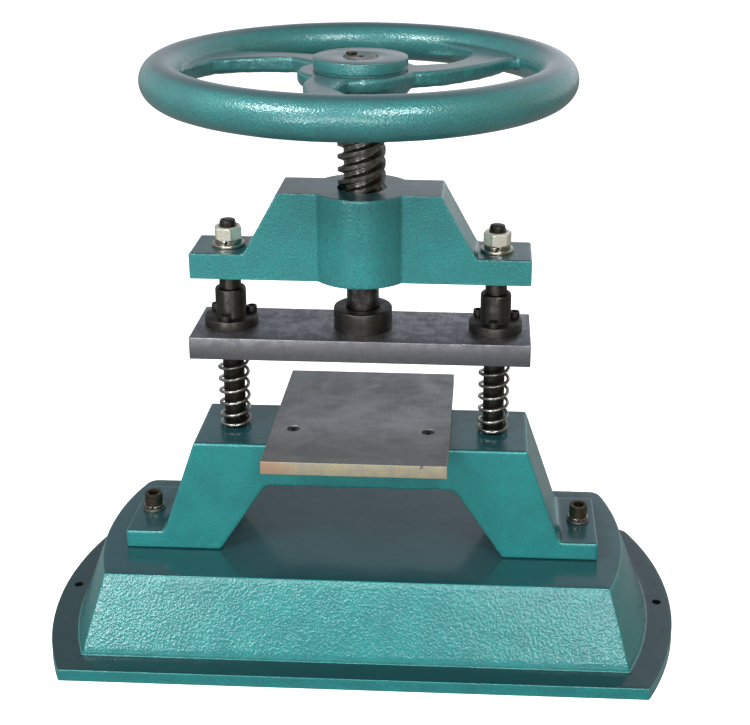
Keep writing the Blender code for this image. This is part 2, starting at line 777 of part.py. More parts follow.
def make_handwheel():
    around = 48
    sides = 12
    rings = []
    for i in range(around):
        turn = 2 * math.pi * i / around
        ring = []
        for k in range(sides):
            angle = 2 * math.pi * k / sides
            r = RIM_RADIUS + RIM_SECTION * math.cos(angle)
            z = RIM_Z + RIM_SECTION * math.sin(angle)
            ring.append((r * math.cos(turn), r * math.sin(turn), z))
        rings.append(ring)
    wheel = lofted("handwheel", rings, capped=False)
    hub = [
        (TOP_RADIUS + FIT, HUB_Z),
        (36.0, HUB_Z),
        (40.0, HUB_Z + 3),
        (44.0, HUB_Z + 11),
        (WEB_RADIUS - 3, HUB_Z + 18),
        (WEB_RADIUS, HUB_Z + 22),
        (WEB_RADIUS, HUB_Z + 27),
        (WEB_RADIUS - 2, SPOKE_TOP - 0.5),
        (DISC_RADIUS - 1, SPOKE_TOP - 0.5),
        (DISC_RADIUS - 1, SPOKE_TOP + 1.1),
        (DISC_RADIUS, SPOKE_TOP + 1.5),
        (DISC_RADIUS, HUB_TOP - 0.8),
        (DISC_RADIUS - 0.8, HUB_TOP),
        (TOP_RADIUS + FIT, HUB_TOP),
    ]
    boolean(wheel, turned("wheel_hub", hub, hollow=True, steps=32), "UNION")
    section = (
        (0.0, 0.35),
        (0.05, 0.08),
        (0.15, 0.0),
        (0.5, 0.0),
        (0.85, 0.0),
        (0.95, 0.08),
        (1.0, 0.35),
        (0.95, 0.75),
        (0.75, 1.0),
        (0.5, 1.0),
        (0.25, 1.0),
        (0.05, 0.75),
    )
    spokes = []
    for spoke_turn in SPOKE_TURNS:
        rings = []
        for k in range(12):
            radius = SPOKE_FROM + 12.0 * k
            near, far = spoke_edges(radius)
            ring = []
            for share, drop in section:
                angle = math.radians(near + (far - near) * share + spoke_turn)
                z = SPOKE_TOP - SPOKE_THICK * drop
                ring.append((radius * math.cos(angle), radius * math.sin(angle), z))
            rings.append(ring)
        spokes.append(lofted("spoke", rings, bent=True))
    boolean(wheel, together("wheel_spokes", spokes), "UNION")
    slot = keyway("wheel_keyway", 10.0, 19.5, KEY_WIDTH + FIT, HUB_Z - PAST, HUB_TOP + PAST)
    boolean(wheel, slot)
    return belongs(wheel, "spindle", "green_enamel")


def sideways_rod(name, radius, start, end, angle, z, steps=14):
    """A cylinder lying along a horizontal direction from the Z axis."""
    turn = math.radians(angle)
    rings = []
    for along in (start, end):
        ring = []
        for k in range(steps):
            a = 2 * math.pi * k / steps
            side = radius * math.cos(a)
            x = along * math.cos(turn) - side * math.sin(turn)
            y = along * math.sin(turn) + side * math.cos(turn)
            ring.append((x, y, z + radius * math.sin(a)))
        rings.append(ring)
    return lofted(name, rings)


def make_wheel_fixings(wheel, spindle):
    key_low = HUB_Z + 5.0
    slot = keyway("spindle_keyway", 11.6, 17.0, KEY_WIDTH + FIT, key_low - PAST, HUB_TOP + PAST)
    boolean(spindle, slot)
    key = keyway("wheel_key", 11.9, 19.2, KEY_WIDTH, key_low, HUB_TOP + 1.4)
    belongs(key, "spindle", "brown_steel")
    hole = sideways_rod("grub_hole", GRUB_RADIUS + FIT, 10.0, 60.0, GRUB_ANGLE, GRUB_Z)
    boolean(wheel, hole)
    grub = sideways_rod("wheel_grub_screw", GRUB_RADIUS, 16.4, 42.5, GRUB_ANGLE, GRUB_Z)
    boolean(grub, sideways_rod("grub_socket", 2.3, 37.0, 50.0, GRUB_ANGLE, GRUB_Z, 6))
    belongs(grub, "spindle", "black_steel")


def make_beam():
    half = [
        (BEAM_X, BEAM_Z, 1.0),
        (BEAM_X, EAR_Z, 1.5),
        (SLOPE_FOOT_X, EAR_Z, 5.0),
        (SLOPE_TOP_X, BEAM_TOP, 1.5),
    ]
    outline = rounded(mirrored(half))
    beam = prism("upper_beam", outline, -BEAM_DEPTH, BEAM_DEPTH, "Y")
    boss = rod("beam_boss", BOSS_RADIUS, BEAM_Z, BEAM_TOP, steps=40)
    boolean(beam, boss, "UNION")
    bore = [
        (0.0, BEAM_Z - PAST),
        (NUT_RADIUS + FIT, BEAM_Z - PAST),
        (NUT_RADIUS + FIT, NUT_TOP + FIT),
        (CREST_RADIUS + 1.0, NUT_TOP + FIT),
        (CREST_RADIUS + 1.0, BEAM_TOP + PAST),
        (0.0, BEAM_TOP + PAST),
    ]
    holes = [turned("bore", bore, steps=36)]
    for side in (-1, 1):
        at = (side * COLUMN_X, 0.0)
        holes.append(rod("ear", STUD_RADIUS + FIT, BEAM_Z - PAST, EAR_Z + PAST, at))
    drill(beam, holes)
    hole = sideways_rod("set_hole", GRUB_RADIUS + FIT, 25.0, 60.0, SET_SCREW_ANGLE, SET_SCREW_Z)
    boolean(beam, hole)
    nut = [
        (CREST_RADIUS + FIT, NUT_LOW),
        (NUT_RADIUS - 1.0, NUT_LOW),
        (NUT_RADIUS, NUT_LOW + 1.0),
        (NUT_RADIUS, NUT_TOP - 1.0),
        (NUT_RADIUS - 1.0, NUT_TOP),
        (CREST_RADIUS + 1.3, NUT_TOP),
        (CREST_RADIUS + FIT, NUT_TOP - 1.0),
    ]
    belongs(turned("spindle_nut", nut, hollow=True, steps=32), "frame", "bronze")
    reach = BOSS_RADIUS - 2.5
    screw = sideways_rod("nut_set_screw", GRUB_RADIUS, NUT_RADIUS + FIT, reach, SET_SCREW_ANGLE, SET_SCREW_Z)
    boolean(screw, sideways_rod("set_socket", 2.3, 42.0, 50.0, SET_SCREW_ANGLE, SET_SCREW_Z, 6))
    belongs(screw, "frame", "black_steel")
    return belongs(beam, "frame", "green_enamel")


def make_foot_bolts():
    seat = BASE_TOP + FOOT_THICK
    for side, label in ((-1, "left"), (1, "right")):
        at = (side * FOOT_BOLT_X, 0.0, 0.0)
        flat_washer(f"foot_flat_washer_{label}", at, 6.5, 11.2, seat, 2.5)
        split_washer(f"foot_spring_washer_{label}", at, 6.4, 10.3, seat + 2.5, 3.5)
        name = f"foot_bolt_{label}"
        cap_screw(name, at[:2], seat + 6.0, 12.0, FOOT_BOLT_LENGTH, 9.0, 12.0, 10.0, "frame")


clear_scene()
make_bodies()
make_base()
make_bridge()
make_bed()
make_columns()
make_springs()
make_platen()
make_bushes()
make_thrust_housing()
spindle_part = make_spindle()
wheel_part = make_handwheel()
make_wheel_fixings(wheel_part, spindle_part)
make_beam()
make_foot_bolts()
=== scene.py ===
"""Looks of the hand-wheel screw press: detailed pieces, finishes, floor, light and camera.

Lengths are in millimetres in the press's own frame: +Z is up, and the operator stands on
the -Y side. They are scaled once, when a mesh is finished.
"""

import json
import math
from math import cos, pi, radians, sin

import bmesh
import bpy
from mathutils import Matrix, Vector, noise


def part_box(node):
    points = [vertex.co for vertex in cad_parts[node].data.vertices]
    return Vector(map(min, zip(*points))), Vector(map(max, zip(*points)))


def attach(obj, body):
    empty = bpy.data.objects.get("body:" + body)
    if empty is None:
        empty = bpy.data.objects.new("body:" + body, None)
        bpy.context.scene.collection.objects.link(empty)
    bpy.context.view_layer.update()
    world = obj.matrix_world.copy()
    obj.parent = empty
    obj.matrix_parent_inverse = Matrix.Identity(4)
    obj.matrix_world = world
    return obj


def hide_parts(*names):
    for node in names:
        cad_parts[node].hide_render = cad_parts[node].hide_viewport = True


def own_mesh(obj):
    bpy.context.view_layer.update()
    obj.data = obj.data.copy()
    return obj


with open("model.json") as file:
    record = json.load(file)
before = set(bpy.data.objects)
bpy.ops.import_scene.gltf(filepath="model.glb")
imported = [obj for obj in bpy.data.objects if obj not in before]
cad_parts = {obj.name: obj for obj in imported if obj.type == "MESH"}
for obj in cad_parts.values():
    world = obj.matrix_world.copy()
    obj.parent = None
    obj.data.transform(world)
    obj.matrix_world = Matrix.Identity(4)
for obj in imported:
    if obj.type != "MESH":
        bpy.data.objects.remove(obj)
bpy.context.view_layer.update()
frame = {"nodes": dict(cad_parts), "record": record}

SLOTS = {part["node"]: part["material_slot"] for part in frame["record"]["subparts"]}

MM = 0.001
SHARP_ANGLE = radians(35)
PAST = 4.0  # how far a cutter reaches past the face that it opens

# Base casting. Its outlines are discs cut by two straight sides, as (radius, half depth).
FLANGE_THICK = 13.0
FLANGE_EASE = 1.3
BLOCK_FOOT = (290.0, 121.0)
BLOCK_TOP = (263.0, 96.0)
BLOCK_EASE = 1.6
BASE_FILLET = 2.6
BASE_WALL = 14.0
BOSS_UNDER = 46.0
BOSS_UNDER_RADIUS = 19.0
RIB_X = 95.0
RIB_HALF = 5.0
RIB_UNDER = 22.0
ANCHOR_X = 304.0
ANCHOR_RADIUS = 4.5

# Bridge casting.
FOOT_THICK = 19.0
ARCH_X = 93.0
ARCH_Z = 161.5
LEG_IN_LOW = 141.0
LEG_OUT_LOW = 197.0
TABLE_X = 163.0

# The bed's front edge has one small nick.
NICK_X = 63.5

# Radii of the holes that the fasteners go through or into.
FOOT_BOLT_TAP = 6.3
FOOT_BOLT_HOLE = 6.7
BED_SCREW_HOLE = 3.3
STUD_HOLE = 8.3
SET_SCREW_HOLE = 4.3
CAP_SCREW_HOLE = 2.3
CAP_SCREW_SINK = 3.8

# Columns, their nuts and the return springs.
COLUMN_RADIUS = 10.5
STUD_RADIUS = 8.0
STUD_ROOT = 6.95
STUD_PITCH = 2.0
NUT_ACROSS = 24.0
COILS = 8.0
COIL_RADIUS = 14.0
WIRE_RADIUS = 1.7

# Guide bushes and thrust cap.
BUSH_BORE = 10.8
BUSH_RADIUS = 14.9
BUSH_HOLE = 15.2
BUSH_FLANGE = 26.0
BUSH_SCREW_HEAD = 6.0
CAP_RADIUS = 28.4
CAP_BORE = 16.1
CAP_HOLLOW = 20.5

# Spindle, which turns in the thrust cap and carries the wheel.
TIP_RADIUS = 10.0
SHOULDER_Z = 328.0
SHAFT_RADIUS = 15.6
THREAD_FROM = 376.0
THREAD_TO = 532.0
THREAD_PITCH = 12.3
STARTS = 3
CREST_RADIUS = 22.7
ROOT_RADIUS = 16.9
COLLAR_RADIUS = 21.0
TOP_RADIUS = 15.8

# Handwheel.
HUB_Z = 538.0
RIM_Z = 563.0
RIM_SECTION = 19.2
SPOKE_TOP = 568.5
SPOKE_THICK = 17.0
SPOKE_FROM = 37.0
SPOKE_TURNS = (0.0, 121.0, 236.0)
WEB_RADIUS = 56.0
DISC_RADIUS = 43.6
KEY_WIDTH = 8.0
GRUB_Z = 549.0
GRUB_ANGLE = 80.0

# Upper beam.
BEAM_DEPTH = 29.0
BOSS_RADIUS = 49.0
SLOPE_FOOT_X = 110.0
SLOPE_TOP_X = 77.0
NUT_SEAT_RADIUS = 30.4
SCREW_CLEARANCE = 23.2
SET_SCREW_Z = 414.0
SET_SCREW_ANGLE = 90.0

# Enamel, its fading and worn edges, and the painted shade on its level faces and in the anchor holes, as
# linear colours.
ENAMEL_TEAL = (0.014, 0.325, 0.310)
ENAMEL_DEEP = (0.016, 0.275, 0.272)
ENAMEL_BLUE = (0.020, 0.150, 0.180)
# The next two are painted shade and reflection, which level faces get in place of the teal; the second is
# for the wheel.
LEVEL_PAINTED_SHADE = (0.007, 0.070, 0.080)
WHEEL_LEVEL_PAINTED_SHADE = (0.040, 0.105, 0.115)
FADED_GREY = (0.20, 0.22, 0.21)
PRIMER_GREY = (0.20, 0.26, 0.25)
# Painted shade inside the anchor holes.
HOLE_PAINTED_SHADE = (0.008, 0.010, 0.010)

# What the press is lit by and mirrors, by direction.
WALL_LOW_LEFT = (0.46, 0.49, 0.52)
WALL_LOW_RIGHT = (0.90, 0.92, 0.98)
WALL_HIGH_LEFT = (0.30, 0.33, 0.36)
WALL_HIGH_RIGHT = (0.62, 0.67, 0.74)
SIDE_LEFT = (0.50, 0.52, 0.52)
SIDE_RIGHT = (0.46, 0.38, 0.24)
IN_FRONT = (0.12, 0.12, 0.12)
OVERHEAD = (0.13, 0.14, 0.15)
BELOW = (0.24, 0.25, 0.25)
LIGHTS_AIM = (0.0, 0.0, 0.3)

# Camera: place in millimetres, and turns in degrees.
CAMERA_PLACE = (119.634, -1218.737, 803.632)
CAMERA_TURN = 2.014
CAMERA_TILT = -19.031
CAMERA_ROLL = 0.637
CAMERA_LENS = 64.563
CAMERA_SHIFT = (-0.08984, -0.13465)


def box_mm(node):
    """Lowest and highest corner of a CAD node, in millimetres."""
    low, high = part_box(node)
    return low / MM, high / MM


def spot(node):
    """The point (x, y) over which a node stands."""
    low, high = box_mm(node)
    middle = (low + high) / 2
    return middle.x, middle.y


def angle_of(node):
    """Direction of a node's middle from the Z axis, in degrees."""
    x, y = spot(node)
    return math.degrees(math.atan2(y, x))


# Places that several pieces share.
SIDES = ((-1, "left"), (1, "right"))
FOOT_BOLT_X = spot("foot_bolt_right")[0]
COLUMN_X = spot("column_right")[0]
TABLE_Z = box_mm("bridge_casting")[1].z
EAR_Z = box_mm("column_flat_washer_left")[0].z


# ---- mesh tools ----


def linked(name, data):
    """A new object in the scene, which shows a mesh, a light or a camera."""
    obj = bpy.data.objects.new(name, data)
    bpy.context.scene.collection.objects.link(obj)
    return obj


def made_from(name, mesh_data):
    """A new object whose mesh is made from a bmesh, which is then freed."""
    mesh = bpy.data.meshes.new(name)
    mesh_data.to_mesh(mesh)
    mesh_data.free()
    return linked(name, mesh)


def finish_mesh(name, mesh_data):
    """Merges and orients a bmesh that was built in millimetres, and links it."""
    bmesh.ops.remove_doubles(mesh_data, verts=mesh_data.verts, dist=1e-4)
    bmesh.ops.dissolve_degenerate(mesh_data, edges=mesh_data.edges, dist=1e-4)
    bmesh.ops.recalc_face_normals(mesh_data, faces=mesh_data.faces)
    bmesh.ops.scale(mesh_data, verts=mesh_data.verts, vec=(MM, MM, MM))
    obj = made_from(name, mesh_data)
    obj.data.shade_smooth()
    obj.data.set_sharp_from_angle(angle=SHARP_ANGLE)
    return obj


def lofted(name, rings, closed=False):
    """Skins closed rings of equal count, with flat ends unless the rings form a loop."""
    mesh_data = bmesh.new()
    rows = [[mesh_data.verts.new(point) for point in ring] for ring in rings]
    count = len(rows[0])
    pairs = list(zip(rows, rows[1:]))
    if closed:
        pairs.append((rows[-1], rows[0]))
    for low, high in pairs:
        for i in range(count):
            j = (i + 1) % count
            mesh_data.faces.new((low[i], low[j], high[j], high[i]))
    if not closed:
        mesh_data.faces.new(rows[0])
        mesh_data.faces.new(rows[-1])
    return finish_mesh(name, mesh_data)


def circle(steps):
    """Angles at equal steps round a full turn."""
    return [2 * pi * k / steps for k in range(steps)]


def revolved(name, columns, at, closed, hollow=False):
    """Skins columns of (radius, z) points that stand at equal turns about an upright axis."""
    mesh_data = bmesh.new()
    steps = len(columns) if closed else len(columns) - 1
    made = []
    for i, column in enumerate(columns):
        turn = 2 * pi * i / steps
        points = [(at[0] + r * cos(turn), at[1] + r * sin(turn), z) for r, z in column]
        made.append([mesh_data.verts.new(point) for point in points])
    if closed:
        made.append(made[0])
    count = len(made[0])
    for one, two in zip(made, made[1:]):
        for k in range(count if hollow else count - 1):
            m = (k + 1) % count
            mesh_data.faces.new((one[k], two[k], two[m], one[m]))
    return finish_mesh(name, mesh_data)


def turned(name, profile, at=(0.0, 0.0), hollow=False, steps=96):
    """Turns (radius, z) pairs about an upright axis. A radius may be a function of the angle."""
    columns = []
    for turn in circle(steps):
        columns.append([(radius(turn) if callable(radius) else radius, z) for radius, z in profile])
    return revolved(name, columns, at, True, hollow)


def rod(radius, low, high, at=(0.0, 0.0), steps=48):
    """An upright cylinder."""
    return turned("rod", [(0.0, low), (radius, low), (radius, high), (0.0, high)], at, False, steps)


def outward(along, side, degrees):
    """The point (x, y) at a distance from the Z axis in some direction, and to the side of it."""
    turn = radians(degrees)
    x = along * cos(turn) - side * sin(turn)
    return x, along * sin(turn) + side * cos(turn)


def sideways_rod(radius, start, end, degrees, z, steps=32):
    """A cylinder lying along a horizontal direction from the Z axis."""
    rings = []
    for along in (start, end):
        ring = []
        for a in circle(steps):
            ring.append((*outward(along, radius * cos(a), degrees), z + radius * sin(a)))
        rings.append(ring)
    return lofted("sideways_rod", rings)


def prism(name, outline, low, high, axis="Z"):
    """Extrudes an outline along Z, or along Y when the outline holds (x, z) pairs."""
    if axis == "Z":
        return lofted(name, [[(a, b, level) for a, b in outline] for level in (low, high)])
    return lofted(name, [[(a, level, b) for a, b in outline] for level in (low, high)])


def rounded(corners, steps=8):
    """Outline of a polygon whose corners (x, y, radius) are rounded by arcs."""
    outline = []
    count = len(corners)
    for i, (x, y, radius) in enumerate(corners):
        if radius <= 0:
            outline.append((x, y))
            continue
        px, py, _ = corners[i - 1]
        nx, ny, _ = corners[(i + 1) % count]
        back = math.atan2(py - y, px - x)
        ahead = math.atan2(ny - y, nx - x)
        turn = (ahead - back + pi) % (2 * pi) - pi
        reach = radius / math.tan(abs(turn) / 2)
        middle = radius / sin(abs(turn) / 2)
        cx = x + middle * cos(back + turn / 2)
        cy = y + middle * sin(back + turn / 2)
        start = math.atan2(y + reach * sin(back) - cy, x + reach * cos(back) - cx)
        sweep = -math.copysign(pi - abs(turn), turn)
        for k in range(steps + 1):
            angle = start + sweep * k / steps
            outline.append((cx + radius * cos(angle), cy + radius * sin(angle)))
    return outline


def plate(name, low, high, ease):
    """A flat plate whose edges are all rounded."""
    mesh_data = bmesh.new()
    size = high - low
    place = Matrix.Translation((low + high) / 2) @ Matrix.Diagonal((*size, 1.0))
    bmesh.ops.create_cube(mesh_data, size=1.0, matrix=place)
    edges = list(mesh_data.edges)
    bmesh.ops.bevel(mesh_data, geom=edges, offset=ease, segments=3, profile=0.5, affect="EDGES")
    return finish_mesh(name, mesh_data)


def keep_modified(obj):
    """Replaces an object's mesh by what its modifiers make of it."""
    graph = bpy.context.evaluated_depsgraph_get()
    mesh = bpy.data.meshes.new_from_object(obj.evaluated_get(graph), depsgraph=graph)
    obj.modifiers.clear()
    obj.data = mesh
    return obj


def merged(name, pieces):
    """Puts several pieces into one mesh."""
    mesh_data = bmesh.new()
    for piece in pieces:
        mesh_data.from_mesh(piece.data)
        bpy.data.objects.remove(piece, do_unlink=True)
    return made_from(name, mesh_data)


def boolean(target, cutters, operation="DIFFERENCE"):
    """Cuts or joins pieces that stand clear of each other, and keeps the result."""
    other = merged("cutters", cutters)
    modifier = target.modifiers.new("boolean", "BOOLEAN")
    modifier.operation = operation
    modifier.solver = "EXACT"
    modifier.object = other
    keep_modified(target)
    bpy.data.objects.remove(other, do_unlink=True)
    target.data.shade_smooth()
    target.data.set_sharp_from_angle(angle=SHARP_ANGLE)
    return target


def cast(obj, grain, softening):
    """Turns overlapping solids into one even skin with softened edges, like a casting."""
    remesh = obj.modifiers.new("skin", "REMESH")
    remesh.mode = "VOXEL"
    remesh.voxel_size = grain * MM
    remesh.use_smooth_shade = True
    smooth = obj.modifiers.new("soften", "SMOOTH")
    smooth.factor = 0.5
    smooth.iterations = softening
    keep_modified(obj)
    obj.data.shade_smooth()
    return obj


def roughen(obj, depth, size, seed=0.0, keep=None):
    """Sinks the surface by an uneven amount, up to a depth, over lumps of a given size."""
    mesh = obj.data
    normals = [Vector(vertex.normal) for vertex in mesh.vertices]
    offset = Vector((seed, 2.3 * seed, -1.7 * seed))
    for vertex, normal in zip(mesh.vertices, normals):
        share = 1.0 if keep is None else keep(vertex.co / MM)
        if share <= 0:
            continue
        height = 0.5 + 0.5 * noise.noise(vertex.co / (size * MM) + offset)
        vertex.co -= normal * (share * height * depth * MM)
    mesh.update()
    return obj


def stands_for(obj, body, slot, node, finish=None):
    """Hangs a piece on its body, in place of a CAD node. Its finish may be finer than its slot's."""
    obj.data.materials.clear()
    obj.data.materials.append(FINISHES[finish or slot])
    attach(obj, body)
    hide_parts(node)


# ---- finishes ----

FINISHES = {}


class NodeTree:
    """The nodes of a material or a world, built one by one."""

    def __init__(self, owner, coordinates):
        owner.use_nodes = True
        self.tree = owner.node_tree
        self.where = self.node("ShaderNodeTexCoord").outputs[coordinates]

    def node(self, kind, inputs=None, **settings):
        """Adds a node, with its settings and with values or links for its inputs."""
        made = self.tree.nodes.new(kind)
        for key, value in settings.items():
            setattr(made, key, value)
        for key, value in (inputs or {}).items():
            self.put(made.inputs[key], value)
        return made

    def put(self, socket, value):
        """Links a socket to another one, or gives it a value."""
        if isinstance(value, bpy.types.NodeSocket):
            self.tree.links.new(value, socket)
        else:
            socket.default_value = value

    def ramp(self, value, low, high, to_low=0.0, to_high=1.0):
        """Maps a value's range to another range and stops at its ends."""
        inputs = {"Value": value, "From Min": low, "From Max": high, "To Min": to_low, "To Max": to_high}
        made = self.node("ShaderNodeMapRange", inputs, interpolation_type="SMOOTHSTEP")
        return made.outputs["Result"]

    def math(self, operation, one, two=0.0, three=0.0):
        """One arithmetic step on up to three values."""
        made = self.node("ShaderNodeMath", operation=operation)
        for socket, value in zip(made.inputs, (one, two, three)):
            self.put(socket, value)
        return made.outputs["Value"]

    def mix(self, share, one, two, strength=None):
        """A colour between two others, each a socket or (red, green, blue)."""
        made = self.node("ShaderNodeMix", data_type="RGBA")
        if strength is not None:
            share = self.math("MULTIPLY", share, strength)
        self.put(made.inputs["Factor"], share)
        for socket, colour in ((made.inputs[6], one), (made.inputs[7], two)):
            linked = isinstance(colour, bpy.types.NodeSocket)
            self.put(socket, colour if linked else (*colour, 1.0))
        return made.outputs[2]

    def parts(self, vector=None):
        """The X, Y and Z outputs of a vector, or of the object coordinates."""
        made = self.node("ShaderNodeSeparateXYZ")
        self.put(made.inputs["Vector"], vector or self.where)
        return made.outputs


class Finish(NodeTree):
    """A procedural material in object coordinates."""

    def __init__(self, name):
        self.material = bpy.data.materials.new(name)
        super().__init__(self.material, "Object")
        self.shader = self.tree.nodes["Principled BSDF"]
        FINISHES[name] = self.material

    def set(self, **values):
        """Fills sockets of the shader, whose names have _ for a space."""
        for key, value in values.items():
            self.put(self.shader.inputs[key.replace("_", " ")], value)

    def noise(self, size, detail=4.0, roughness=0.55, distortion=0.0, where=None):
        """Soft noise whose lumps have a size in millimetres."""
        inputs = {"Vector": where or self.where, "Scale": 1.0 / (size * MM)}
        inputs |= {"Detail": detail, "Roughness": roughness, "Distortion": distortion}
        return self.node("ShaderNodeTexNoise", inputs).outputs["Fac"]

    def cells(self, size, smoothness, where):
        """Rounded cells whose size is in millimetres."""
        inputs = {"Vector": where, "Scale": 1.0 / (size * MM), "Smoothness": smoothness}
        return self.node("ShaderNodeTexVoronoi", inputs, feature="SMOOTH_F1").outputs["Distance"]

    def stretched(self, scale):
        """Coordinates scaled apart along each axis, for streaks."""
        return self.node("ShaderNodeMapping", {"Vector": self.where, "Scale": scale}).outputs["Vector"]

    def bump(self, height, depth, strength=1.0, normal=None):
        """A normal bumped by a height, where 1 stands for a depth in millimetres."""
        inputs = {"Strength": strength, "Distance": depth * MM, "Height": height}
        if normal is not None:
            inputs["Normal"] = normal
        return self.node("ShaderNodeBump", inputs).outputs["Normal"]

    def edges(self, radius):
        """1 along edges and 0 on faces, from how a rounded normal differs from the true one."""
        bevel = self.node("ShaderNodeBevel", {"Radius": radius * MM}, samples=6)
        true = self.node("ShaderNodeNewGeometry").outputs["Normal"]
        dot = self.node("ShaderNodeVectorMath", operation="DOT_PRODUCT")
        self.put(dot.inputs[0], bevel.outputs["Normal"])
        self.put(dot.inputs[1], true)
        return self.ramp(dot.outputs["Value"], 0.985, 0.86)

    def shaded_holes(self):
        """1 inside the base's anchor holes, which are painted dark as shade, and 0 elsewhere."""
        parts = self.parts()
        along = self.math("SUBTRACT", self.math("ABSOLUTE", parts["X"]), ANCHOR_X * MM)
        squares = self.math("MULTIPLY", along, along)
        squares = self.math("MULTIPLY_ADD", parts["Y"], parts["Y"], squares)
        return self.ramp(squares, ((ANCHOR_RADIUS + 0.4) * MM) ** 2, (ANCHOR_RADIUS * MM) ** 2)

    def level(self):
        """1 where the surface faces up or down, and 0 where it is upright."""
        normal = self.node("ShaderNodeTexCoord").outputs["Normal"]
        return self.math("ABSOLUTE", self.parts(normal)["Z"])


def faded(colour, tone, share):
    """A colour made stronger or weaker, then mixed with grey."""
    return tuple(c * tone * (1 - share) + g * share for c, g in zip(colour, FADED_GREY))


def make_enamel(name, cell, depth, gloss, tone, mottling, level, low_level_tone=1.0, fade=0.0):
    """Hammered teal enamel, smooth on level faces and dimpled on the others. Level faces carry painted shade
    and reflection as a darker colour.

    Cell and depth are the dimples' size and height in millimetres. The painted shade on level faces
    is darker still where they lie low.
    """
    f = Finish(name)
    warp = f.node("ShaderNodeTexNoise", {"Vector": f.where, "Scale": 1.0 / (2.0 * cell * MM)})
    shift = f.node("ShaderNodeVectorMath", operation="MULTIPLY_ADD")
    f.put(shift.inputs[0], warp.outputs["Color"])
    shift.inputs[1].default_value = (1.1 * cell * MM,) * 3
    f.put(shift.inputs[2], f.where)
    dimples = f.cells(cell, 0.8, shift.outputs["Vector"])
    grain = f.noise(0.5 * cell, 3.0)
    steep = f.ramp(f.level(), 0.97, 0.75)
    patches = f.ramp(f.noise(30.0, 5.0), 0.35, 0.65)
    mottle = f.ramp(f.noise(0.8 * cell, 3.0, 0.6), 0.4, 0.62)
    quiet = f.mix(patches, faded(ENAMEL_DEEP, tone, fade), faded(ENAMEL_TEAL, tone, fade))
    colour = f.mix(mottle, quiet, faded(ENAMEL_BLUE, tone, fade), mottling)
    low = f.ramp(f.parts()["Z"], (FLANGE_THICK + 3) * MM, (FLANGE_THICK + 12) * MM)
    # Painted shade: level faces take a dark colour in place of the teal, darker still where they lie low.
    colour = f.mix(steep, f.mix(low, tuple(low_level_tone * c for c in level), level), colour)
    worn = f.math("MULTIPLY", f.edges(1.2), f.ramp(f.noise(9.0, 6.0), 0.5, 0.7))
    colour = f.mix(worn, colour, PRIMER_GREY, 0.15)
    # Painted shade inside the base's anchor holes.
    colour = f.mix(f.shaded_holes(), colour, HOLE_PAINTED_SHADE)
    f.set(Base_Color=colour, Metallic=0.35, IOR=1.5, Specular_IOR_Level=0.5)
    f.set(Roughness=f.ramp(f.noise(14.0, 4.0), 0.3, 0.7, 0.44, 0.54))
    height = f.math("ADD", dimples, f.math("MULTIPLY", grain, 0.35))
    slow = f.bump(f.noise(28.0, 2.0), 0.35, 0.5)
    share = f.math("ADD", f.math("MULTIPLY", steep, 0.95), 0.05)
    normal = f.bump(f.math("MULTIPLY", height, share), depth, 1.0, slow)
    f.set(Normal=normal, Coat_Normal=normal, Coat_Weight=1.0, Coat_Roughness=gloss, Coat_IOR=1.5)


def make_steel(
    name, pale, dark, roughness, depth, rust=None, streak=(1.0, 1.0, 1.0), metallic=1.0, spread=0.12
):
    """Machined or drawn metal, with uneven oxide, streaks, rubbed edges and perhaps rust."""
    f = Finish(name)
    patches = f.ramp(f.noise(11.0, 6.0, 0.6), 0.36, 0.64)
    lines = f.noise(1.1, 3.0, 0.6, 0.0, f.stretched(streak))
    colour = f.mix(patches, dark, pale)
    colour = f.mix(f.ramp(lines, 0.4, 0.62), colour, tuple(0.55 * c for c in dark), 0.35)
    colour = f.mix(f.edges(0.7), colour, tuple(min(1.0, 1.6 * c + 0.1) for c in pale), 0.6)
    if rust is not None:
        colour = f.mix(f.ramp(f.noise(4.5, 8.0, 0.7), 0.55, 0.7), colour, (0.13, 0.055, 0.025), rust)
    f.set(Base_Color=colour, Metallic=metallic)
    f.set(Roughness=f.ramp(patches, 0.0, 1.0, roughness + spread, roughness))
    height = f.math("ADD", lines, f.math("MULTIPLY", f.noise(5.0, 5.0), 0.8))
    f.set(Normal=f.bump(height, depth, 0.8))


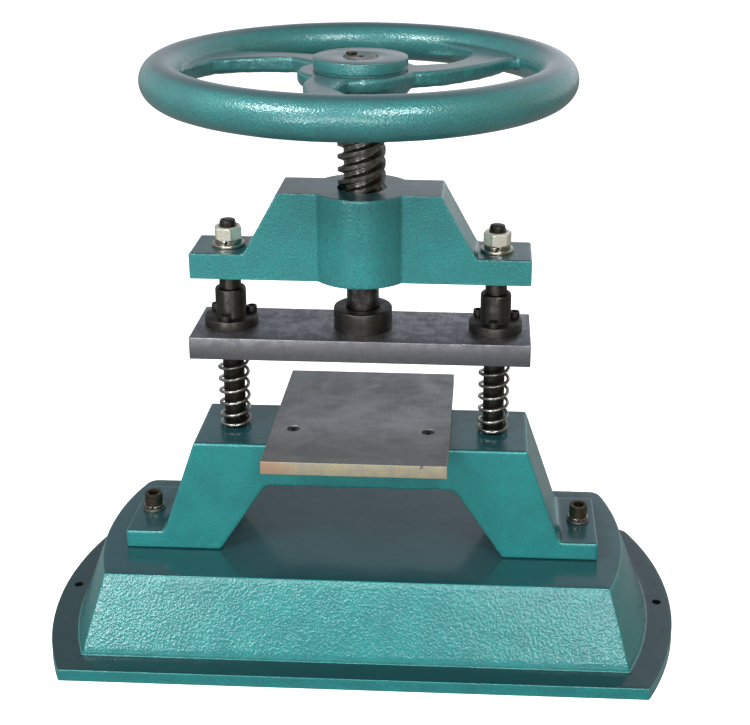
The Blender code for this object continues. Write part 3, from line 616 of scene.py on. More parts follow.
def make_bed_steel(name):
    """Ground plate: blue-grey oxide on its face, bare and yellowed along its outer sides."""
    f = Finish(name)
    low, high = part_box("bed_plate")
    patches = f.ramp(f.noise(38.0, 6.0, 0.6, 0.4), 0.32, 0.68)
    smear = f.ramp(f.noise(26.0, 5.0, 0.65, 1.5, f.stretched((0.35, 1.0, 1.0))), 0.4, 0.66)
    face = f.mix(patches, (0.215, 0.22, 0.235), (0.30, 0.30, 0.31))
    face = f.mix(smear, face, (0.42, 0.41, 0.39), 0.35)
    lines = f.noise(0.9, 3.0, 0.6, 0.0, f.stretched((1.0, 0.04, 1.0)))
    face = f.mix(f.ramp(lines, 0.42, 0.6), face, (0.17, 0.17, 0.175), 0.2)
    specks = f.ramp(f.noise(1.6, 4.0, 0.7), 0.6, 0.68)
    side = f.mix(f.ramp(f.noise(9.0, 6.0, 0.65), 0.4, 0.62), (0.37, 0.33, 0.22), (0.31, 0.29, 0.23))
    side = f.mix(specks, side, (0.16, 0.11, 0.07), 0.7)
    parts = f.parts()
    side = f.mix(f.ramp(parts["X"], low.x + 45 * MM, low.x), side, (0.42, 0.2, 0.12), 0.6)
    out_x = f.ramp(f.math("ABSOLUTE", parts["X"]), high.x - 1.2 * MM, high.x - 0.4 * MM)
    out_y = f.ramp(f.math("ABSOLUTE", parts["Y"]), high.y - 1.2 * MM, high.y - 0.4 * MM)
    outer = f.math("MULTIPLY", f.math("MAXIMUM", out_x, out_y), f.ramp(f.level(), 0.9, 0.6))
    f.set(Base_Color=f.mix(outer, face, side), Metallic=f.ramp(outer, 0.0, 1.0, 0.8, 0.25))
    f.set(Roughness=f.ramp(patches, 0.0, 1.0, 0.5, 0.38))
    height = f.math("ADD", lines, f.math("MULTIPLY", specks, -0.5))
    f.set(Normal=f.bump(height, 0.04, 0.7))


def make_finishes():
    """All finishes: the record's slots, and finer ones for single pieces."""
    make_enamel("base_enamel", 2.3, 0.26, 0.14, 0.85, 0.5, LEVEL_PAINTED_SHADE, low_level_tone=0.55)
    make_enamel("bridge_enamel", 1.9, 0.16, 0.16, 0.9, 0.45, LEVEL_PAINTED_SHADE)
    make_enamel("beam_enamel", 2.0, 0.2, 0.16, 0.94, 0.7, LEVEL_PAINTED_SHADE, fade=0.05)
    make_enamel("wheel_enamel", 1.9, 0.27, 0.15, 0.76, 0.65, WHEEL_LEVEL_PAINTED_SHADE, fade=0.13)
    make_bed_steel("bed_steel")
    across = (1.0, 0.06, 1.0)
    make_steel("ground_steel", (0.32, 0.32, 0.345), (0.22, 0.22, 0.24), 0.38, 0.03, 0.1, across)
    make_steel("black_steel", (0.085, 0.081, 0.073), (0.05, 0.047, 0.042), 0.38, 0.03, 0.2)
    make_steel("bright_steel", (0.9, 0.87, 0.74), (0.72, 0.69, 0.58), 0.3, 0.02, 0.1, metallic=0.6)
    make_steel("dull_steel", (0.2, 0.18, 0.145), (0.12, 0.1, 0.08), 0.4, 0.02, 0.5, metallic=0.8)
    make_steel("spring_steel", (0.5, 0.49, 0.45), (0.24, 0.23, 0.205), 0.25, 0.02, 0.3)
    make_steel("bronze", (0.4, 0.25, 0.1), (0.25, 0.15, 0.06), 0.32, 0.03)
    make_steel("brown_steel", (0.17, 0.13, 0.085), (0.08, 0.063, 0.046), 0.34, 0.04, 0.5)
    make_steel("screw_steel", (0.3, 0.285, 0.26), (0.1, 0.092, 0.084), 0.25, 0.05, 0.3, spread=0.06)
    make_steel("washer_steel", (0.62, 0.6, 0.52), (0.4, 0.38, 0.32), 0.28, 0.03, 0.2, spread=0.06)


# ---- base and bridge ----


def cut_disc(radius, depth, front=1.5, back=12.0, steps=36, side_steps=64):
    """A disc cut by two straight sides, with eased corners."""
    outline = []
    for side, ease in ((1, back), (-1, front)):
        centre_y = depth - ease
        centre_x = math.sqrt((radius - ease) ** 2 - centre_y**2)
        tangent = math.atan2(centre_y, centre_x)
        corner = [tangent + (pi / 2 - tangent) * k / 6 for k in range(7)]
        arc = [tangent * k / steps for k in range(steps)]
        quarter = [(radius * cos(a), radius * sin(a)) for a in arc]
        quarter += [(centre_x + ease * cos(a), centre_y + ease * sin(a)) for a in corner]
        reach = quarter[-1][0]
        straight = [(reach * (1 - 2 * k / side_steps), depth) for k in range(1, side_steps)]
        half = quarter + straight + [(-x, y) for x, y in reversed(quarter[1:])]
        outline += half if side > 0 else [(-x, -y) for x, y in half]
    return outline


def between(one, two, share):
    """A point on the straight line from one point to another."""
    return tuple(a + (b - a) * share for a, b in zip(one, two))


def base_levels(radius, depth, top):
    """Outline sizes (radius, half depth, z) from the underside up to the flat top."""
    levels = [(radius - 1.0, depth - 1.0, 0.0), (radius, depth, 1.0)]
    levels += [(radius, depth, z) for z in (4.0, 8.0)]
    for k in range(6):
        a = pi / 2 * k / 5
        inset = FLANGE_EASE * (1 - cos(a))
        levels.append((radius - inset, depth - inset, FLANGE_THICK - FLANGE_EASE * (1 - sin(a))))
    foot_radius, foot_depth = (size + 1.2 for size in BLOCK_FOOT)
    out = 0.8 * BASE_FILLET
    rim = (radius - FLANGE_EASE, depth - FLANGE_EASE, FLANGE_THICK)
    toe = (foot_radius + out, foot_depth + 0.15 * out, FLANGE_THICK)
    levels += [between(rim, toe, k / 5) for k in range(1, 5)]
    for k in range(9):
        a = pi / 2 * k / 8
        away = out * (1 - sin(a))
        up = BASE_FILLET * (1 - cos(a))
        levels.append((foot_radius + away, foot_depth + 0.15 * away, FLANGE_THICK + up))
    foot = (foot_radius, foot_depth, FLANGE_THICK + BASE_FILLET)
    slope = 1 - BLOCK_EASE / (top - foot[2])
    levels += [between(foot, (*BLOCK_TOP, top), slope * k / 14) for k in range(1, 15)]
    for k in range(1, 5):
        a = pi / 2 * k / 4
        inset = BLOCK_EASE * (1 - cos(a)) - 0.5 * (1 - k / 4)
        z = top - BLOCK_EASE * (1 - sin(a))
        levels.append((BLOCK_TOP[0] - inset, BLOCK_TOP[1] - inset, z))
    return levels


def make_base():
    _, high = box_mm("base_casting")
    rings = []
    for radius, depth, z in base_levels(high.x, high.y, high.z):
        rings.append([(x, y, z) for x, y in cut_disc(radius, depth)])
    rim = rings[-1]
    for k in range(1, 14):
        share = (1 - k / 14) ** 0.9
        rings.append([(x * share, y * share, high.z) for x, y, _ in rim])
    base = lofted("base_casting_cast", rings)
    for depth, size, seed in ((0.35, 34.0, 3.0), (0.12, 9.0, 8.0)):
        roughen(base, depth, size, seed, lambda point: 1.0 if point.z > 2 else 0.0)

    hollow_top = high.z - BASE_WALL
    inside = []
    for size, wall, z in ((BLOCK_FOOT, BASE_WALL, -1.0), (BLOCK_TOP, BASE_WALL - 3, hollow_top)):
        outline = cut_disc(size[0] - wall, size[1] - wall, 8.0, 8.0, 16, 8)
        inside.append([(x, y, z) for x, y in outline])
    hollow = lofted("hollow", inside)
    webs = []
    for side in (-1, 1):
        webs.append(rod(BOSS_UNDER_RADIUS, BOSS_UNDER, hollow_top + 2, (side * FOOT_BOLT_X, 0.0)))
        near, far = side * RIB_X - RIB_HALF, side * RIB_X + RIB_HALF
        reach = BLOCK_TOP[1]
        web = [(near, -reach), (far, -reach), (far, reach), (near, reach)]
        webs.append(prism("web", web, RIB_UNDER, hollow_top + 2))
    boolean(hollow, webs)
    boolean(base, [hollow])
    holes = []
    for side in (-1, 1):
        holes.append(rod(FOOT_BOLT_TAP, BOSS_UNDER - PAST, high.z + PAST, (side * FOOT_BOLT_X, 0.0)))
        flared = [(ANCHOR_RADIUS, FLANGE_THICK - 0.6), (ANCHOR_RADIUS + 0.9, FLANGE_THICK + 7)]
        anchor = [(0.0, -1.0), (ANCHOR_RADIUS, -1.0), *flared, (0.0, FLANGE_THICK + 7)]
        holes.append(turned("anchor", anchor, (side * ANCHOR_X, 0.0), steps=40))
    boolean(base, holes)
    stands_for(base, "frame", "green_enamel", "base_casting", "base_enamel")


def bridge_outline():
    """Outline in (x, z), with an arch whose ceiling is a little wavy."""
    low, high = box_mm("bridge_casting")
    foot_top = low.z + FOOT_THICK
    half = [
        (ARCH_X, ARCH_Z, 13.0),
        (LEG_IN_LOW, low.z, 2.5),
        (high.x, low.z, 1.0),
        (high.x, foot_top, 1.5),
        (LEG_OUT_LOW, foot_top, 6.0),
        (TABLE_X, high.z, 1.5),
    ]
    outline = rounded(half + [(-x, z, radius) for x, z, radius in reversed(half)])
    wavy = []
    for i, (x, z) in enumerate(outline):
        wavy.append((x, z))
        next_x, next_z = outline[(i + 1) % len(outline)]
        if abs(z - ARCH_Z) < 0.01 and abs(next_z - ARCH_Z) < 0.01:
            count = int(abs(next_x - x) / 3)
            for k in range(1, count):
                wave_x = x + (next_x - x) * k / count
                lump = noise.noise(Vector((wave_x / 16, 0.0, 4.1)))
                lump += 0.6 * noise.noise(Vector((wave_x / 6, 0.0, 7.7)))
                wavy.append((wave_x, ARCH_Z + 0.9 * lump))
    return wavy


def make_bridge():
    low, high = box_mm("bridge_casting")
    bridge = prism("bridge_casting_cast", bridge_outline(), -high.y, high.y, "Y")
    stud_low = box_mm("column_right")[0].z
    holes = []
    for side in (-1, 1):
        foot_top = low.z + FOOT_THICK
        holes.append(rod(FOOT_BOLT_HOLE, low.z - PAST, foot_top + PAST, (side * FOOT_BOLT_X, 0.0)))
        holes.append(rod(STUD_HOLE, stud_low - 2, high.z + PAST, (side * COLUMN_X, 0.0)))
    for number in (1, 2):
        node = f"bed_screw_{number}"
        holes.append(rod(BED_SCREW_HOLE, box_mm(node)[0].z - 1, high.z + PAST, spot(node), 24))
    boolean(bridge, holes)
    cast(bridge, 1.35, 5)
    roughen(bridge, 0.3, 26.0, 11.0, lambda point: 1.0 if point.z > low.z + 1 else 0.0)
    stands_for(bridge, "frame", "green_enamel", "bridge_casting", "bridge_enamel")


# ---- bed ----


def hexagonal(across, turn=0.0):
    """Radius of a hexagon as a function of the angle."""

    def radius(angle):
        wedge = (angle - radians(turn)) % (pi / 3) - pi / 6
        return across / 2 / cos(wedge)

    return radius


def make_bed():
    low, high = box_mm("bed_plate")
    top = high.z
    bed = plate("bed_plate_ground", low, high, 0.55)
    holes = []
    for number in (1, 2):
        node = f"bed_screw_{number}"
        sink = [(0.0, low.z - 1), (BED_SCREW_HOLE, low.z - 1), (BED_SCREW_HOLE, top - 4.6)]
        sink += [(6.3, top - 1.6), (6.3, top - 0.4), (6.8, top + 0.1), (6.8, top + 1), (0.0, top + 1)]
        holes.append(turned("sink", sink, spot(node), steps=48))
        socket = hexagonal(4.0, 20)
        screw_low = box_mm(node)[0].z
        screw = [(0.0, screw_low), (2.5, screw_low), (3.0, screw_low + 0.5), (3.0, top - 4.7)]
        screw += [(5.8, top - 1.9), (5.9, top - 1.5), (5.6, top - 1.2), (2.7, top - 1.2)]
        screw += [(socket, top - 1.5), (socket, top - 3.8), (0.0, top - 4.4)]
        stands_for(turned(node + "_sunk", screw, spot(node), steps=60), "frame", "black_steel", node)
    nick = [(0.0, top - 7), (1.3, top - 3), (1.3, top + 1), (0.0, top + 1)]
    holes.append(turned("nick", nick, (NICK_X, low.y), steps=12))
    boolean(bed, holes)
    stands_for(bed, "frame", "ground_steel", "bed_plate", "bed_steel")


# ---- fasteners ----


def thread(radius, root, pitch, low, high, starts=1, crest=0.25, steps=48, per_pitch=8):
    """Rows of a thread's skin as functions of turn: a list of (radius, z) for each column."""
    columns = []
    lead = starts * pitch
    periods = math.ceil((high - low) / pitch) + starts
    for i in range(steps + 1):
        rows = []
        for n in range(-starts, periods):
            for k in range(per_pitch):
                t = k / per_pitch
                z = low + (n + t) * pitch + lead * i / steps
                inside = min(max(z, low), high)
                wave = thread_wave(t, crest)
                fade = min(1.0, max(0.0, min(z - low, high - z) / (0.5 * pitch)))
                r = root + (radius - root) * wave * fade
                rows.append((r if inside == z else root, inside))
        columns.append(rows)
    return columns


def thread_wave(t, crest):
    """Trapezoidal profile over one pitch with eased corners, from 0 at the root to 1."""
    rise = (1 - 2 * crest) / 2
    s = min(1.0, max(0.0, min(t, 2 * rise + crest - t) / rise))
    return s * s * (3 - 2 * s)


def make_nut(node, across, turn):
    """Hexagon nut with both faces chamfered."""
    low, high = box_mm(node)
    shape = hexagonal(across, turn)
    flat = 0.475 * across
    corner = across / math.sqrt(3)
    spread = corner - flat
    rise = 0.55 * spread

    def crowned(limit):
        if limit < corner:
            return lambda angle: min(shape(angle) - 0.12, limit)
        return lambda angle: min(shape(angle), corner - 0.25)

    half = [(8.35, 0.9), (9.2, 0.0), (flat - 0.3, 0.0), (flat, 0.15)]
    half += [(crowned(flat + spread * k / 5), 0.15 + rise * k / 5) for k in range(1, 6)]
    half.append((crowned(corner), rise + 0.6))
    profile = [(radius, low.z + up) for radius, up in half]
    profile += [(radius, high.z - up) for radius, up in reversed(half)]
    nut = turned(node + "_hex", profile, spot(node), True, 144)
    stands_for(nut, "frame", "bright_steel", node)


def make_socket_screw(node, body, slot, head_radius, head_height, key, size, seat):
    """Socket head screw with a knurled head and a hexagon socket."""
    low, _ = box_mm(node)
    ridges = 36 if head_radius > 6 else 28
    depth = 0.035 * head_radius

    def knurled(angle):
        return head_radius - depth * (0.5 - 0.5 * cos(ridges * angle)) ** 0.7

    socket = hexagonal(key, 10)
    corner = key / math.sqrt(3)
    r = size / 2
    top = seat + head_height
    ease = 0.09 * head_radius
    profile = [(0.0, low.z), (r - 0.6, low.z), (r, low.z + 0.6), (r, seat), (head_radius - 0.4, seat)]
    profile += [(head_radius - 0.1, seat + 0.35), (knurled, seat + 1.1), (knurled, top - 1.5 * ease)]
    profile += [(head_radius - 0.15, top - 1.1 * ease), (head_radius - 0.3 * ease, top - 0.35 * ease)]
    profile += [(head_radius - ease, top), (corner + 0.7, top), (corner + 0.2, top - 0.25)]
    profile += [(socket, top - 0.6), (socket, top - 0.5 * head_height), (0.0, top - 0.6 * head_height)]
    screw = turned(node + "_knurled", profile, spot(node), steps=4 * ridges)
    stands_for(screw, body, slot, node)


def make_flat_washer(node, inner, finish):
    low, high = box_mm(node)
    outer = (high.x - low.x) / 2
    profile = [(inner, low.z), (outer - 0.5, low.z), (outer - 0.1, low.z + 0.2), (outer, low.z + 0.6)]
    profile += [(outer, high.z - 0.7), (outer - 0.25, high.z - 0.2), (outer - 0.8, high.z)]
    profile += [(inner + 0.3, high.z), (inner, high.z - 0.3)]
    washer = turned(node + "_rolled", profile, spot(node), True)
    stands_for(washer, "frame", "bright_steel", node, finish)


def make_spring_washer(node, inner):
    """A split ring pressed flat; the slanting cut faces the operator."""
    low, high = box_mm(node)
    x, y = spot(node)
    outer = (high.y - low.y) / 2
    steps = 90
    corners = ((outer, high.z), (inner, high.z), (inner, low.z), (outer, low.z))
    section = rounded([(*corner, 0.45) for corner in corners], 3)
    rings = []
    for i in range(steps + 1):
        turn = radians(-84 + 348 * i / steps)
        ring = []
        for radius, z in section:
            angle = turn + 0.05 * (2 * (z - low.z) / (high.z - low.z) - 1)
            ring.append((x + radius * cos(angle), y + radius * sin(angle), z))
        rings.append(ring)
    stands_for(lofted(node + "_split", rings), "frame", "spring_steel", node)


def make_columns():
    beam = box_mm("upper_beam")[0].z
    for side, label in SIDES:
        low, high = box_mm(f"column_{label}")
        below = [(0.0, low.z), (7.0, low.z), (STUD_RADIUS, low.z + 1), (STUD_RADIUS, TABLE_Z)]
        below += [(10.3, TABLE_Z), (COLUMN_RADIUS, TABLE_Z + 0.3), (COLUMN_RADIUS, beam - 1.2)]
        below += [(10.3, beam - 0.4), (9.7, beam), (STUD_RADIUS, beam), (STUD_RADIUS, EAR_Z)]
        below.append((STUD_ROOT, EAR_Z + 1))
        rows = thread(STUD_RADIUS, STUD_ROOT, STUD_PITCH, EAR_Z + 1, high.z - 1.4, 1, 0.16)
        above = [(7.1, high.z - 1.4), (7.3, high.z - 0.9), (7.1, high.z - 0.3), (6.6, high.z), (0.0, high.z)]
        columns = [below + row + above for row in rows]
        column = revolved(f"column_{label}_turned", columns, (side * COLUMN_X, 0.0), False)
        stands_for(column, "frame", "black_steel", f"column_{label}")
        make_flat_washer(f"column_flat_washer_{label}", 8.5, "washer_steel")
        make_spring_washer(f"column_spring_washer_{label}", 8.4)
        make_nut(f"column_nut_{label}", NUT_ACROSS, 12 * side)


def spring_height(wound, bottom, top):
    """Height of the wire's middle after so many coils. The end coils lie close."""
    pitch = 2 * WIRE_RADIUS + 0.15
    if wound < 1.0:
        return bottom + WIRE_RADIUS + pitch * wound
    if COILS - wound < 1.0:
        return top - WIRE_RADIUS - pitch * (COILS - wound)
    open_share = (wound - 1.0) / (COILS - 2.0)
    return bottom + WIRE_RADIUS + pitch + (top - bottom - 2 * WIRE_RADIUS - 2 * pitch) * open_share


def make_springs():
    steps = 36
    sides = 12
    bottom = TABLE_Z
    top = box_mm("platen")[0].z
    for side, label in SIDES:
        rings = []
        for i in range(int(COILS * steps) + 1):
            wound = i / steps
            z = spring_height(wound, bottom, top)
            thin = WIRE_RADIUS * min(1.0, 0.35 + min(wound, COILS - wound) * 6)
            angle = 2 * pi * wound
            ring = []
            for around in circle(sides):
                radius = COIL_RADIUS + thin * cos(around)
                x = side * COLUMN_X + radius * cos(angle)
                ring.append((x, radius * sin(angle), z + thin * sin(around)))
            rings.append(ring)
        spring = lofted(f"return_spring_{label}_wound", rings)
        stands_for(spring, "frame", "spring_steel", f"return_spring_{label}")
        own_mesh(spring)


# ---- platen and spindle ----


def make_platen():
    low, high = box_mm("platen")
    platen = plate("platen_ground", low, high, 0.8)
    holes = [rod(BUSH_HOLE, low.z - 5, high.z + 5, (side * COLUMN_X, 0.0), 72) for side in (-1, 1)]
    for k in range(4):
        sink = [(0.0, low.z - 2), (CAP_SCREW_SINK + 0.5, low.z - 2), (CAP_SCREW_SINK, low.z + 0.3)]
        sink += [(CAP_SCREW_SINK, low.z + 5), (CAP_SCREW_HOLE, low.z + 5)]
        sink += [(CAP_SCREW_HOLE, high.z + 2), (0.0, high.z + 2)]
        holes.append(turned("sink", sink, spot(f"cap_screw_{k + 1}"), steps=32))
    boolean(platen, holes)
    stands_for(platen, "platen", "ground_steel", "platen")


def make_guide_bush(side, label):
    """A flanged bush pressed into the platen, and the three screws through its flange."""
    low, high = box_mm("platen")
    node = f"guide_bush_{label}"
    top = box_mm(node)[1].z
    flange = box_mm(f"bush_screw_{label}_1")[1].z - BUSH_SCREW_HEAD
    profile = [(BUSH_BORE, low.z + 0.6), (11.4, low.z), (BUSH_RADIUS - 0.5, low.z)]
    profile += [(BUSH_RADIUS, low.z + 0.5), (BUSH_RADIUS, high.z), (BUSH_FLANGE - 0.5, high.z)]
    profile += [(BUSH_FLANGE, high.z + 0.4), (BUSH_FLANGE, flange - 1.0), (BUSH_FLANGE - 0.3, flange - 0.4)]
    profile += [(BUSH_FLANGE - 1, flange), (BUSH_RADIUS + 1, flange), (BUSH_RADIUS + 0.2, flange + 0.3)]
    profile += [(BUSH_RADIUS, flange + 1.0), (BUSH_RADIUS, top - 2.4), (BUSH_RADIUS - 0.4, top - 1.0)]
    profile += [(13.7, top - 0.25), (12.9, top), (11.2, top), (BUSH_BORE, top - 0.4)]
    bush = turned(node + "_turned", profile, (side * COLUMN_X, 0.0), True)
    stands_for(bush, "platen", "black_steel", node)
    for k in range(3):
        node = f"bush_screw_{label}_{k + 1}"
        make_socket_screw(node, "platen", "black_steel", 5.0, BUSH_SCREW_HEAD, 5.0, 6.0, flange)


def make_thrust_cap():
    """The cap that holds the spindle's end nut down on the platen."""
    low, high = box_mm("thrust_cap")
    top = high.z
    roof = SHOULDER_Z + 0.5
    profile = [(CAP_BORE, roof), (CAP_HOLLOW, roof), (CAP_HOLLOW, low.z), (CAP_RADIUS - 0.4, low.z)]
    profile += [(CAP_RADIUS, low.z + 0.4), (CAP_RADIUS, top - 1.5), (CAP_RADIUS - 0.3, top - 0.7)]
    profile += [(CAP_RADIUS - 0.9, top - 0.2), (CAP_RADIUS - 1.6, top), (CAP_BORE + 1.5, top)]
    profile += [(CAP_BORE + 0.6, top - 0.3), (CAP_BORE, top - 1.1)]
    cap = turned("thrust_cap_turned", profile, (0.0, 0.0), True, 128)
    stands_for(cap, "platen", "black_steel", "thrust_cap")


def upright_bar(name, inner, outer, width, low, high, degrees):
    """An upright bar whose long side points away from the Z axis."""
    corners = []
    for along, across in ((inner, -1), (outer, -1), (outer, 1), (inner, 1)):
        corners.append((*outward(along, across * width / 2, degrees), 0.5))
    return prism(name, rounded(corners, 3), low, high)


def make_spindle():
    low, high = box_mm("spindle")
    below = [(0.0, low.z), (TIP_RADIUS - 0.6, low.z), (TIP_RADIUS, low.z + 0.6), (TIP_RADIUS, SHOULDER_Z)]
    below += [(SHAFT_RADIUS - 0.4, SHOULDER_Z), (SHAFT_RADIUS, SHOULDER_Z + 0.4)]
    below += [(SHAFT_RADIUS, THREAD_FROM - 2.5), (ROOT_RADIUS, THREAD_FROM)]
    rows = thread(CREST_RADIUS, ROOT_RADIUS, THREAD_PITCH, THREAD_FROM, THREAD_TO, STARTS, 0.3, 96, 16)
    above = [(ROOT_RADIUS, THREAD_TO), (COLLAR_RADIUS - 0.8, THREAD_TO + 1.5)]
    above += [(COLLAR_RADIUS, THREAD_TO + 2.3), (COLLAR_RADIUS, HUB_Z), (TOP_RADIUS, HUB_Z)]
    above += [(TOP_RADIUS, high.z - 1.6), (TOP_RADIUS - 0.6, high.z - 0.7), (TOP_RADIUS - 1.4, high.z)]
    above += [(4.2, high.z), (0.0, high.z - 3.4)]
    spindle = revolved("spindle_cut", [below + row + above for row in rows], (0.0, 0.0), False)
    angle = angle_of("wheel_key")
    boolean(spindle, [upright_bar("slot", 11.6, 20.0, KEY_WIDTH + 0.2, HUB_Z + 4, high.z + PAST, angle)])
    stands_for(spindle, "spindle", "black_steel", "spindle", "screw_steel")
    key_top = box_mm("wheel_key")[1].z
    key = upright_bar("wheel_key_fitted", 11.9, 19.2, KEY_WIDTH, HUB_Z + 5, key_top, angle)
    stands_for(key, "spindle", "brown_steel", "wheel_key")


# ---- handwheel ----


def spoke_edges(radius):
    """Angles, in degrees, of the two edges of the first spoke at this radius."""
    reach = max(radius - 50.0, 0.0)
    root = max(95.0 - radius, 0.0) / 45
    near = -12 + 30 * (reach / 75) ** 0.8 - 8 * root
    far = 14 + 22 * (reach / 65) ** 1.1 + 15 * max(85.0 - radius, 0.0) / 35
    flare = max(radius - 145.0, 0.0) / 17
    return near - 4 * flare**1.5, far + 14 * flare**1.5


def web_edge(inset):
    """Radius of the web round the hub, which swells a little where the left window ends."""

    def radius(angle):
        left = (math.degrees(angle) - 197 + 180) % 360 - 180
        right = (math.degrees(angle) - 325 + 180) % 360 - 180
        swell = 3.5 * math.exp(-((left / 26) ** 2)) - 5.0 * math.exp(-((right / 28) ** 2))
        lump = 0.9 * noise.noise(Vector((4 * cos(angle), 4 * sin(angle), 1.7)))
        return WEB_RADIUS - inset + swell + lump

    return radius


def power(value, exponent):
    return math.copysign(abs(value) ** exponent, value)


def make_rim():
    ring_radius = box_mm("handwheel")[1].x - RIM_SECTION
    steps = 288
    sides = 56
    rings = []
    for turn in circle(steps):
        ring = []
        for angle in circle(sides):
            r = ring_radius + RIM_SECTION * cos(angle)
            ring.append((r * cos(turn), r * sin(turn), RIM_Z + RIM_SECTION * sin(angle)))
        rings.append(ring)
    return lofted("rim", rings, closed=True)


def make_spoke(spoke_turn):
    """A curved spoke with a flat top and a rounder underside, from inside the hub to the rim."""
    sides = 40
    rings = []
    for k in range(46):
        radius = SPOKE_FROM + 3.0 * (k - 1)
        near, far = spoke_edges(max(radius, SPOKE_FROM))
        ring = []
        for t in circle(sides):
            upper = sin(t) > 0
            across = 0.5 - 0.5 * power(cos(t), 0.3 if upper else 0.5)
            drop = 0.5 - 0.5 * power(sin(t), 0.25 if upper else 0.8)
            angle = radians(near + (far - near) * across + spoke_turn)
            ring.append((radius * cos(angle), radius * sin(angle), SPOKE_TOP - SPOKE_THICK * drop))
        rings.append(ring)
    return lofted("spoke", rings)


def make_hub():
    """The hub's cast body, which widens upwards into the web between the spokes."""
    hub = [(0.0, HUB_Z), (35.0, HUB_Z), (38.0, HUB_Z + 1.2), (40.5, HUB_Z + 3.5)]
    hub += [(DISC_RADIUS, HUB_Z + 9.5), (47.5, HUB_Z + 14)]
    for inset, below in ((3.5, 14.0), (0.8, 11.0), (0.0, 7.5), (0.2, 3.5), (1.2, 1.2), (2.6, 0.2)):
        hub.append((web_edge(inset), SPOKE_TOP - below))
    return turned("hub", hub + [(0.0, SPOKE_TOP - 0.2)])


def make_disc(top):
    """The turned disc on top of the hub, a ring round the bore."""
    low = SPOKE_TOP - 8.5
    disc = [(14.0, low), (DISC_RADIUS - 1.2, low), (DISC_RADIUS - 1.2, SPOKE_TOP + 0.9)]
    disc += [(DISC_RADIUS - 0.4, SPOKE_TOP + 1.2), (DISC_RADIUS, SPOKE_TOP + 1.6), (DISC_RADIUS, top - 1)]
    disc += [(DISC_RADIUS - 0.3, top - 0.35), (DISC_RADIUS - 1.1, top), (18.0, top)]
    disc += [(16.6, top - 0.5), (14.0, top - 0.5)]
    return turned("disc", disc, hollow=True, steps=160)


def make_handwheel():
    parts = [make_rim()] + [make_spoke(turn) for turn in SPOKE_TURNS] + [make_hub()]
    wheel = merged("handwheel_cast", parts)
    cast(wheel, 1.4, 5)

    def side_walls(point):
        away = math.hypot(point.x, point.y)
        return 1.0 if 46 < away < 160 and point.z < SPOKE_TOP - 0.8 else 0.0

    roughen(wheel, 1.1, 7.0, 5.0, side_walls)
    roughen(wheel, 0.25, 30.0, 9.0)
    top = box_mm("spindle")[1].z + 0.5
    boolean(wheel, [make_disc(top)], "UNION")
    low = HUB_Z - PAST
    high = top + PAST
    boolean(wheel, [rod(TOP_RADIUS + 0.3, low, high, steps=96)])
    boolean(wheel, [upright_bar("keyway", 10.0, 19.5, KEY_WIDTH + 0.3, low, high, angle_of("wheel_key"))])
    boolean(wheel, [sideways_rod(SET_SCREW_HOLE, 20.0, 60.0, GRUB_ANGLE, GRUB_Z)])
    stands_for(wheel, "spindle", "green_enamel", "handwheel", "wheel_enamel")


# ---- upper beam ----


def make_beam():
    low, high = box_mm("upper_beam")
    half = [(high.x, low.z, 1.0), (high.x, EAR_Z, 1.5)]
    half += [(SLOPE_FOOT_X, EAR_Z, 5.0), (SLOPE_TOP_X, high.z, 1.5)]
    outline = rounded(half + [(-x, z, radius) for x, z, radius in reversed(half)])
    body = prism("beam", outline, -BEAM_DEPTH, BEAM_DEPTH, "Y")
    boss = rod(BOSS_RADIUS, low.z, high.z, steps=160)
    beam = merged("upper_beam_cast", [body, boss])
    cast(beam, 1.0, 6)
    roughen(beam, 0.25, 24.0, 17.0, lambda point: 0.0 if point.z < low.z + 1 else 1.0)
    cutters = [rod(STUD_HOLE, low.z - PAST, EAR_Z + PAST, (side * COLUMN_X, 0.0)) for side in (-1, 1)]
    lip = box_mm("spindle_nut")[1].z + 0.6
    bore = [(0.0, low.z - PAST), (NUT_SEAT_RADIUS, low.z - PAST), (NUT_SEAT_RADIUS, lip)]
    bore += [(SCREW_CLEARANCE, lip), (SCREW_CLEARANCE, high.z - 0.5), (SCREW_CLEARANCE + 0.7, high.z + 0.2)]
    bore += [(SCREW_CLEARANCE + 0.7, high.z + PAST), (0.0, high.z + PAST)]
    cutters.append(turned("bore", bore, steps=128))
    boolean(beam, cutters)
    boolean(beam, [sideways_rod(SET_SCREW_HOLE, 25.0, 60.0, SET_SCREW_ANGLE, SET_SCREW_Z)])
    stands_for(beam, "frame", "green_enamel", "upper_beam", "beam_enamel")


def make_foot_bolts():
    for label in ("left", "right"):
        seat = box_mm(f"foot_spring_washer_{label}")[1].z
        make_socket_screw(f"foot_bolt_{label}", "frame", "brown_steel", 9.0, 12.0, 10.0, 12.0, seat)
        make_spring_washer(f"foot_spring_washer_{label}", 6.4)
        make_flat_washer(f"foot_flat_washer_{label}", 6.5, "dull_steel")


# ---- studio ----


def make_floor():
    """White paper that is bright enough to lose its shadows, and adds no light of its own."""
    mesh_data = bmesh.new()
    bmesh.ops.create_grid(mesh_data, x_segments=8, y_segments=8, size=9.0)
    floor = made_from("floor", mesh_data)
    floor.visible_diffuse = False
    floor.visible_glossy = False
    paper = Finish("paper")
    tint = paper.mix(paper.noise(400.0, 2.0), (0.9, 0.9, 0.9), (0.93, 0.93, 0.93))
    paper.set(Base_Color=tint, Roughness=0.9, Specular_IOR_Level=0.1)
    paper.set(Emission_Color=(1.0, 1.0, 1.0, 1.0), Emission_Strength=1.0)
    floor.data.materials.append(paper.material)


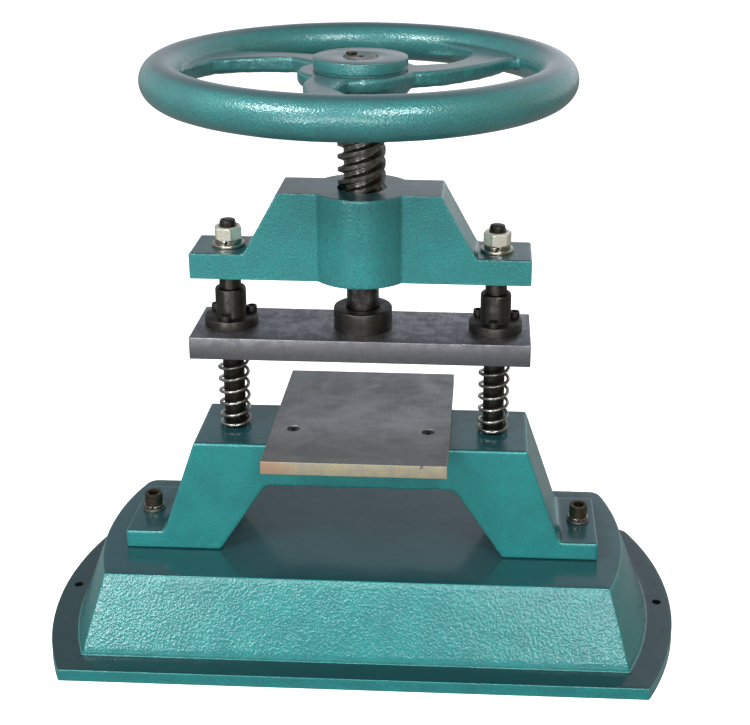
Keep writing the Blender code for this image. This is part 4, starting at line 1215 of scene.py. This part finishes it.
def make_light(name, azimuth, elevation, distance, size, power_w):
    """A soft box that faces the press. Azimuth 0 is the operator's side, 90 is +X."""
    a = radians(azimuth)
    e = radians(elevation)
    away = Vector((sin(a) * cos(e), -cos(a) * cos(e), sin(e)))
    data = bpy.data.lights.new(name, "AREA")
    data.shape = "RECTANGLE"
    data.size, data.size_y = size
    data.energy = power_w
    light = linked(name, data)
    light.location = Vector(LIGHTS_AIM) + away * distance
    light.rotation_mode = "QUATERNION"
    light.rotation_quaternion = away.to_track_quat("Z", "Y")
    return light


def make_surroundings():
    """A pale wall behind the press, warm grey at its sides, and dim in front and overhead."""
    world = bpy.data.worlds.new("studio")
    n = NodeTree(world, "Generated")
    x, y, z = n.parts()
    wall_left = n.mix(n.ramp(z, 0.15, 0.6), WALL_LOW_LEFT, WALL_HIGH_LEFT)
    wall_right = n.mix(n.ramp(z, 0.15, 0.6), WALL_LOW_RIGHT, WALL_HIGH_RIGHT)
    wall = n.mix(n.ramp(x, -0.35, 0.35), wall_left, wall_right)
    sides = n.mix(n.ramp(x, -0.3, 0.3), SIDE_LEFT, SIDE_RIGHT)
    around = n.mix(n.ramp(y, 0.05, 0.6), sides, wall)
    around = n.mix(n.ramp(y, -0.3, -0.7), around, IN_FRONT)
    around = n.mix(n.ramp(z, 0.6, 0.9), around, OVERHEAD)
    around = n.mix(n.ramp(z, 0.0, -0.2), around, BELOW)
    back = n.tree.nodes["Background"]
    n.put(back.inputs["Color"], around)
    back.inputs["Strength"].default_value = 1.0
    bpy.context.scene.world = world


def make_studio():
    make_floor()
    make_light("key_left", -42.0, 43.0, 2.2, (0.8, 0.6), 30.0)
    make_light("key_right", 24.0, 43.0, 2.2, (0.6, 0.5), 20.0)
    make_light("front", -6.0, 12.0, 2.8, (1.6, 0.4), 14.0)
    make_light("front_fill", -6.0, 12.0, 2.8, (1.6, 0.4), 15.0).visible_glossy = False
    make_light("low_left", -24.0, 2.5, 2.6, (0.5, 0.4), 9.5)
    make_light("low_right", 13.0, 2.5, 2.6, (0.4, 0.4), 6.0)
    make_surroundings()
    bpy.context.scene.view_settings.view_transform = "Standard"


def make_camera():
    """The camera stands in front of the press, a little to the right, looking down on it."""
    turn = radians(CAMERA_TURN)
    tilt = radians(CAMERA_TILT)
    roll = radians(CAMERA_ROLL)
    ahead = Vector((-sin(turn) * cos(tilt), cos(turn) * cos(tilt), sin(tilt)))
    right = Vector((cos(turn), sin(turn), 0.0))
    up = right.cross(ahead)
    level_right = right * cos(roll) + up * sin(roll)
    level_up = up * cos(roll) - right * sin(roll)
    data = bpy.data.cameras.new("camera")
    data.sensor_width = 36.0
    data.lens = CAMERA_LENS
    data.shift_x, data.shift_y = CAMERA_SHIFT
    data.clip_start = 0.05
    data.clip_end = 60.0
    camera = linked("camera", data)
    axes = Matrix((level_right, level_up, -ahead)).transposed()
    camera.matrix_world = Matrix.Translation(Vector(CAMERA_PLACE) * MM) @ axes.to_4x4()
    bpy.context.scene.camera = camera


make_finishes()
make_base()
make_bridge()
make_bed()
make_columns()
make_springs()
make_platen()
for side_and_label in SIDES:
    make_guide_bush(*side_and_label)
make_thrust_cap()
make_spindle()
make_handwheel()
make_beam()
make_foot_bolts()
for node_name, node in frame["nodes"].items():
    if not node.hide_render:
        node.data.materials.clear()
        node.data.materials.append(FINISHES[SLOTS[node_name]])
make_studio()
make_camera()
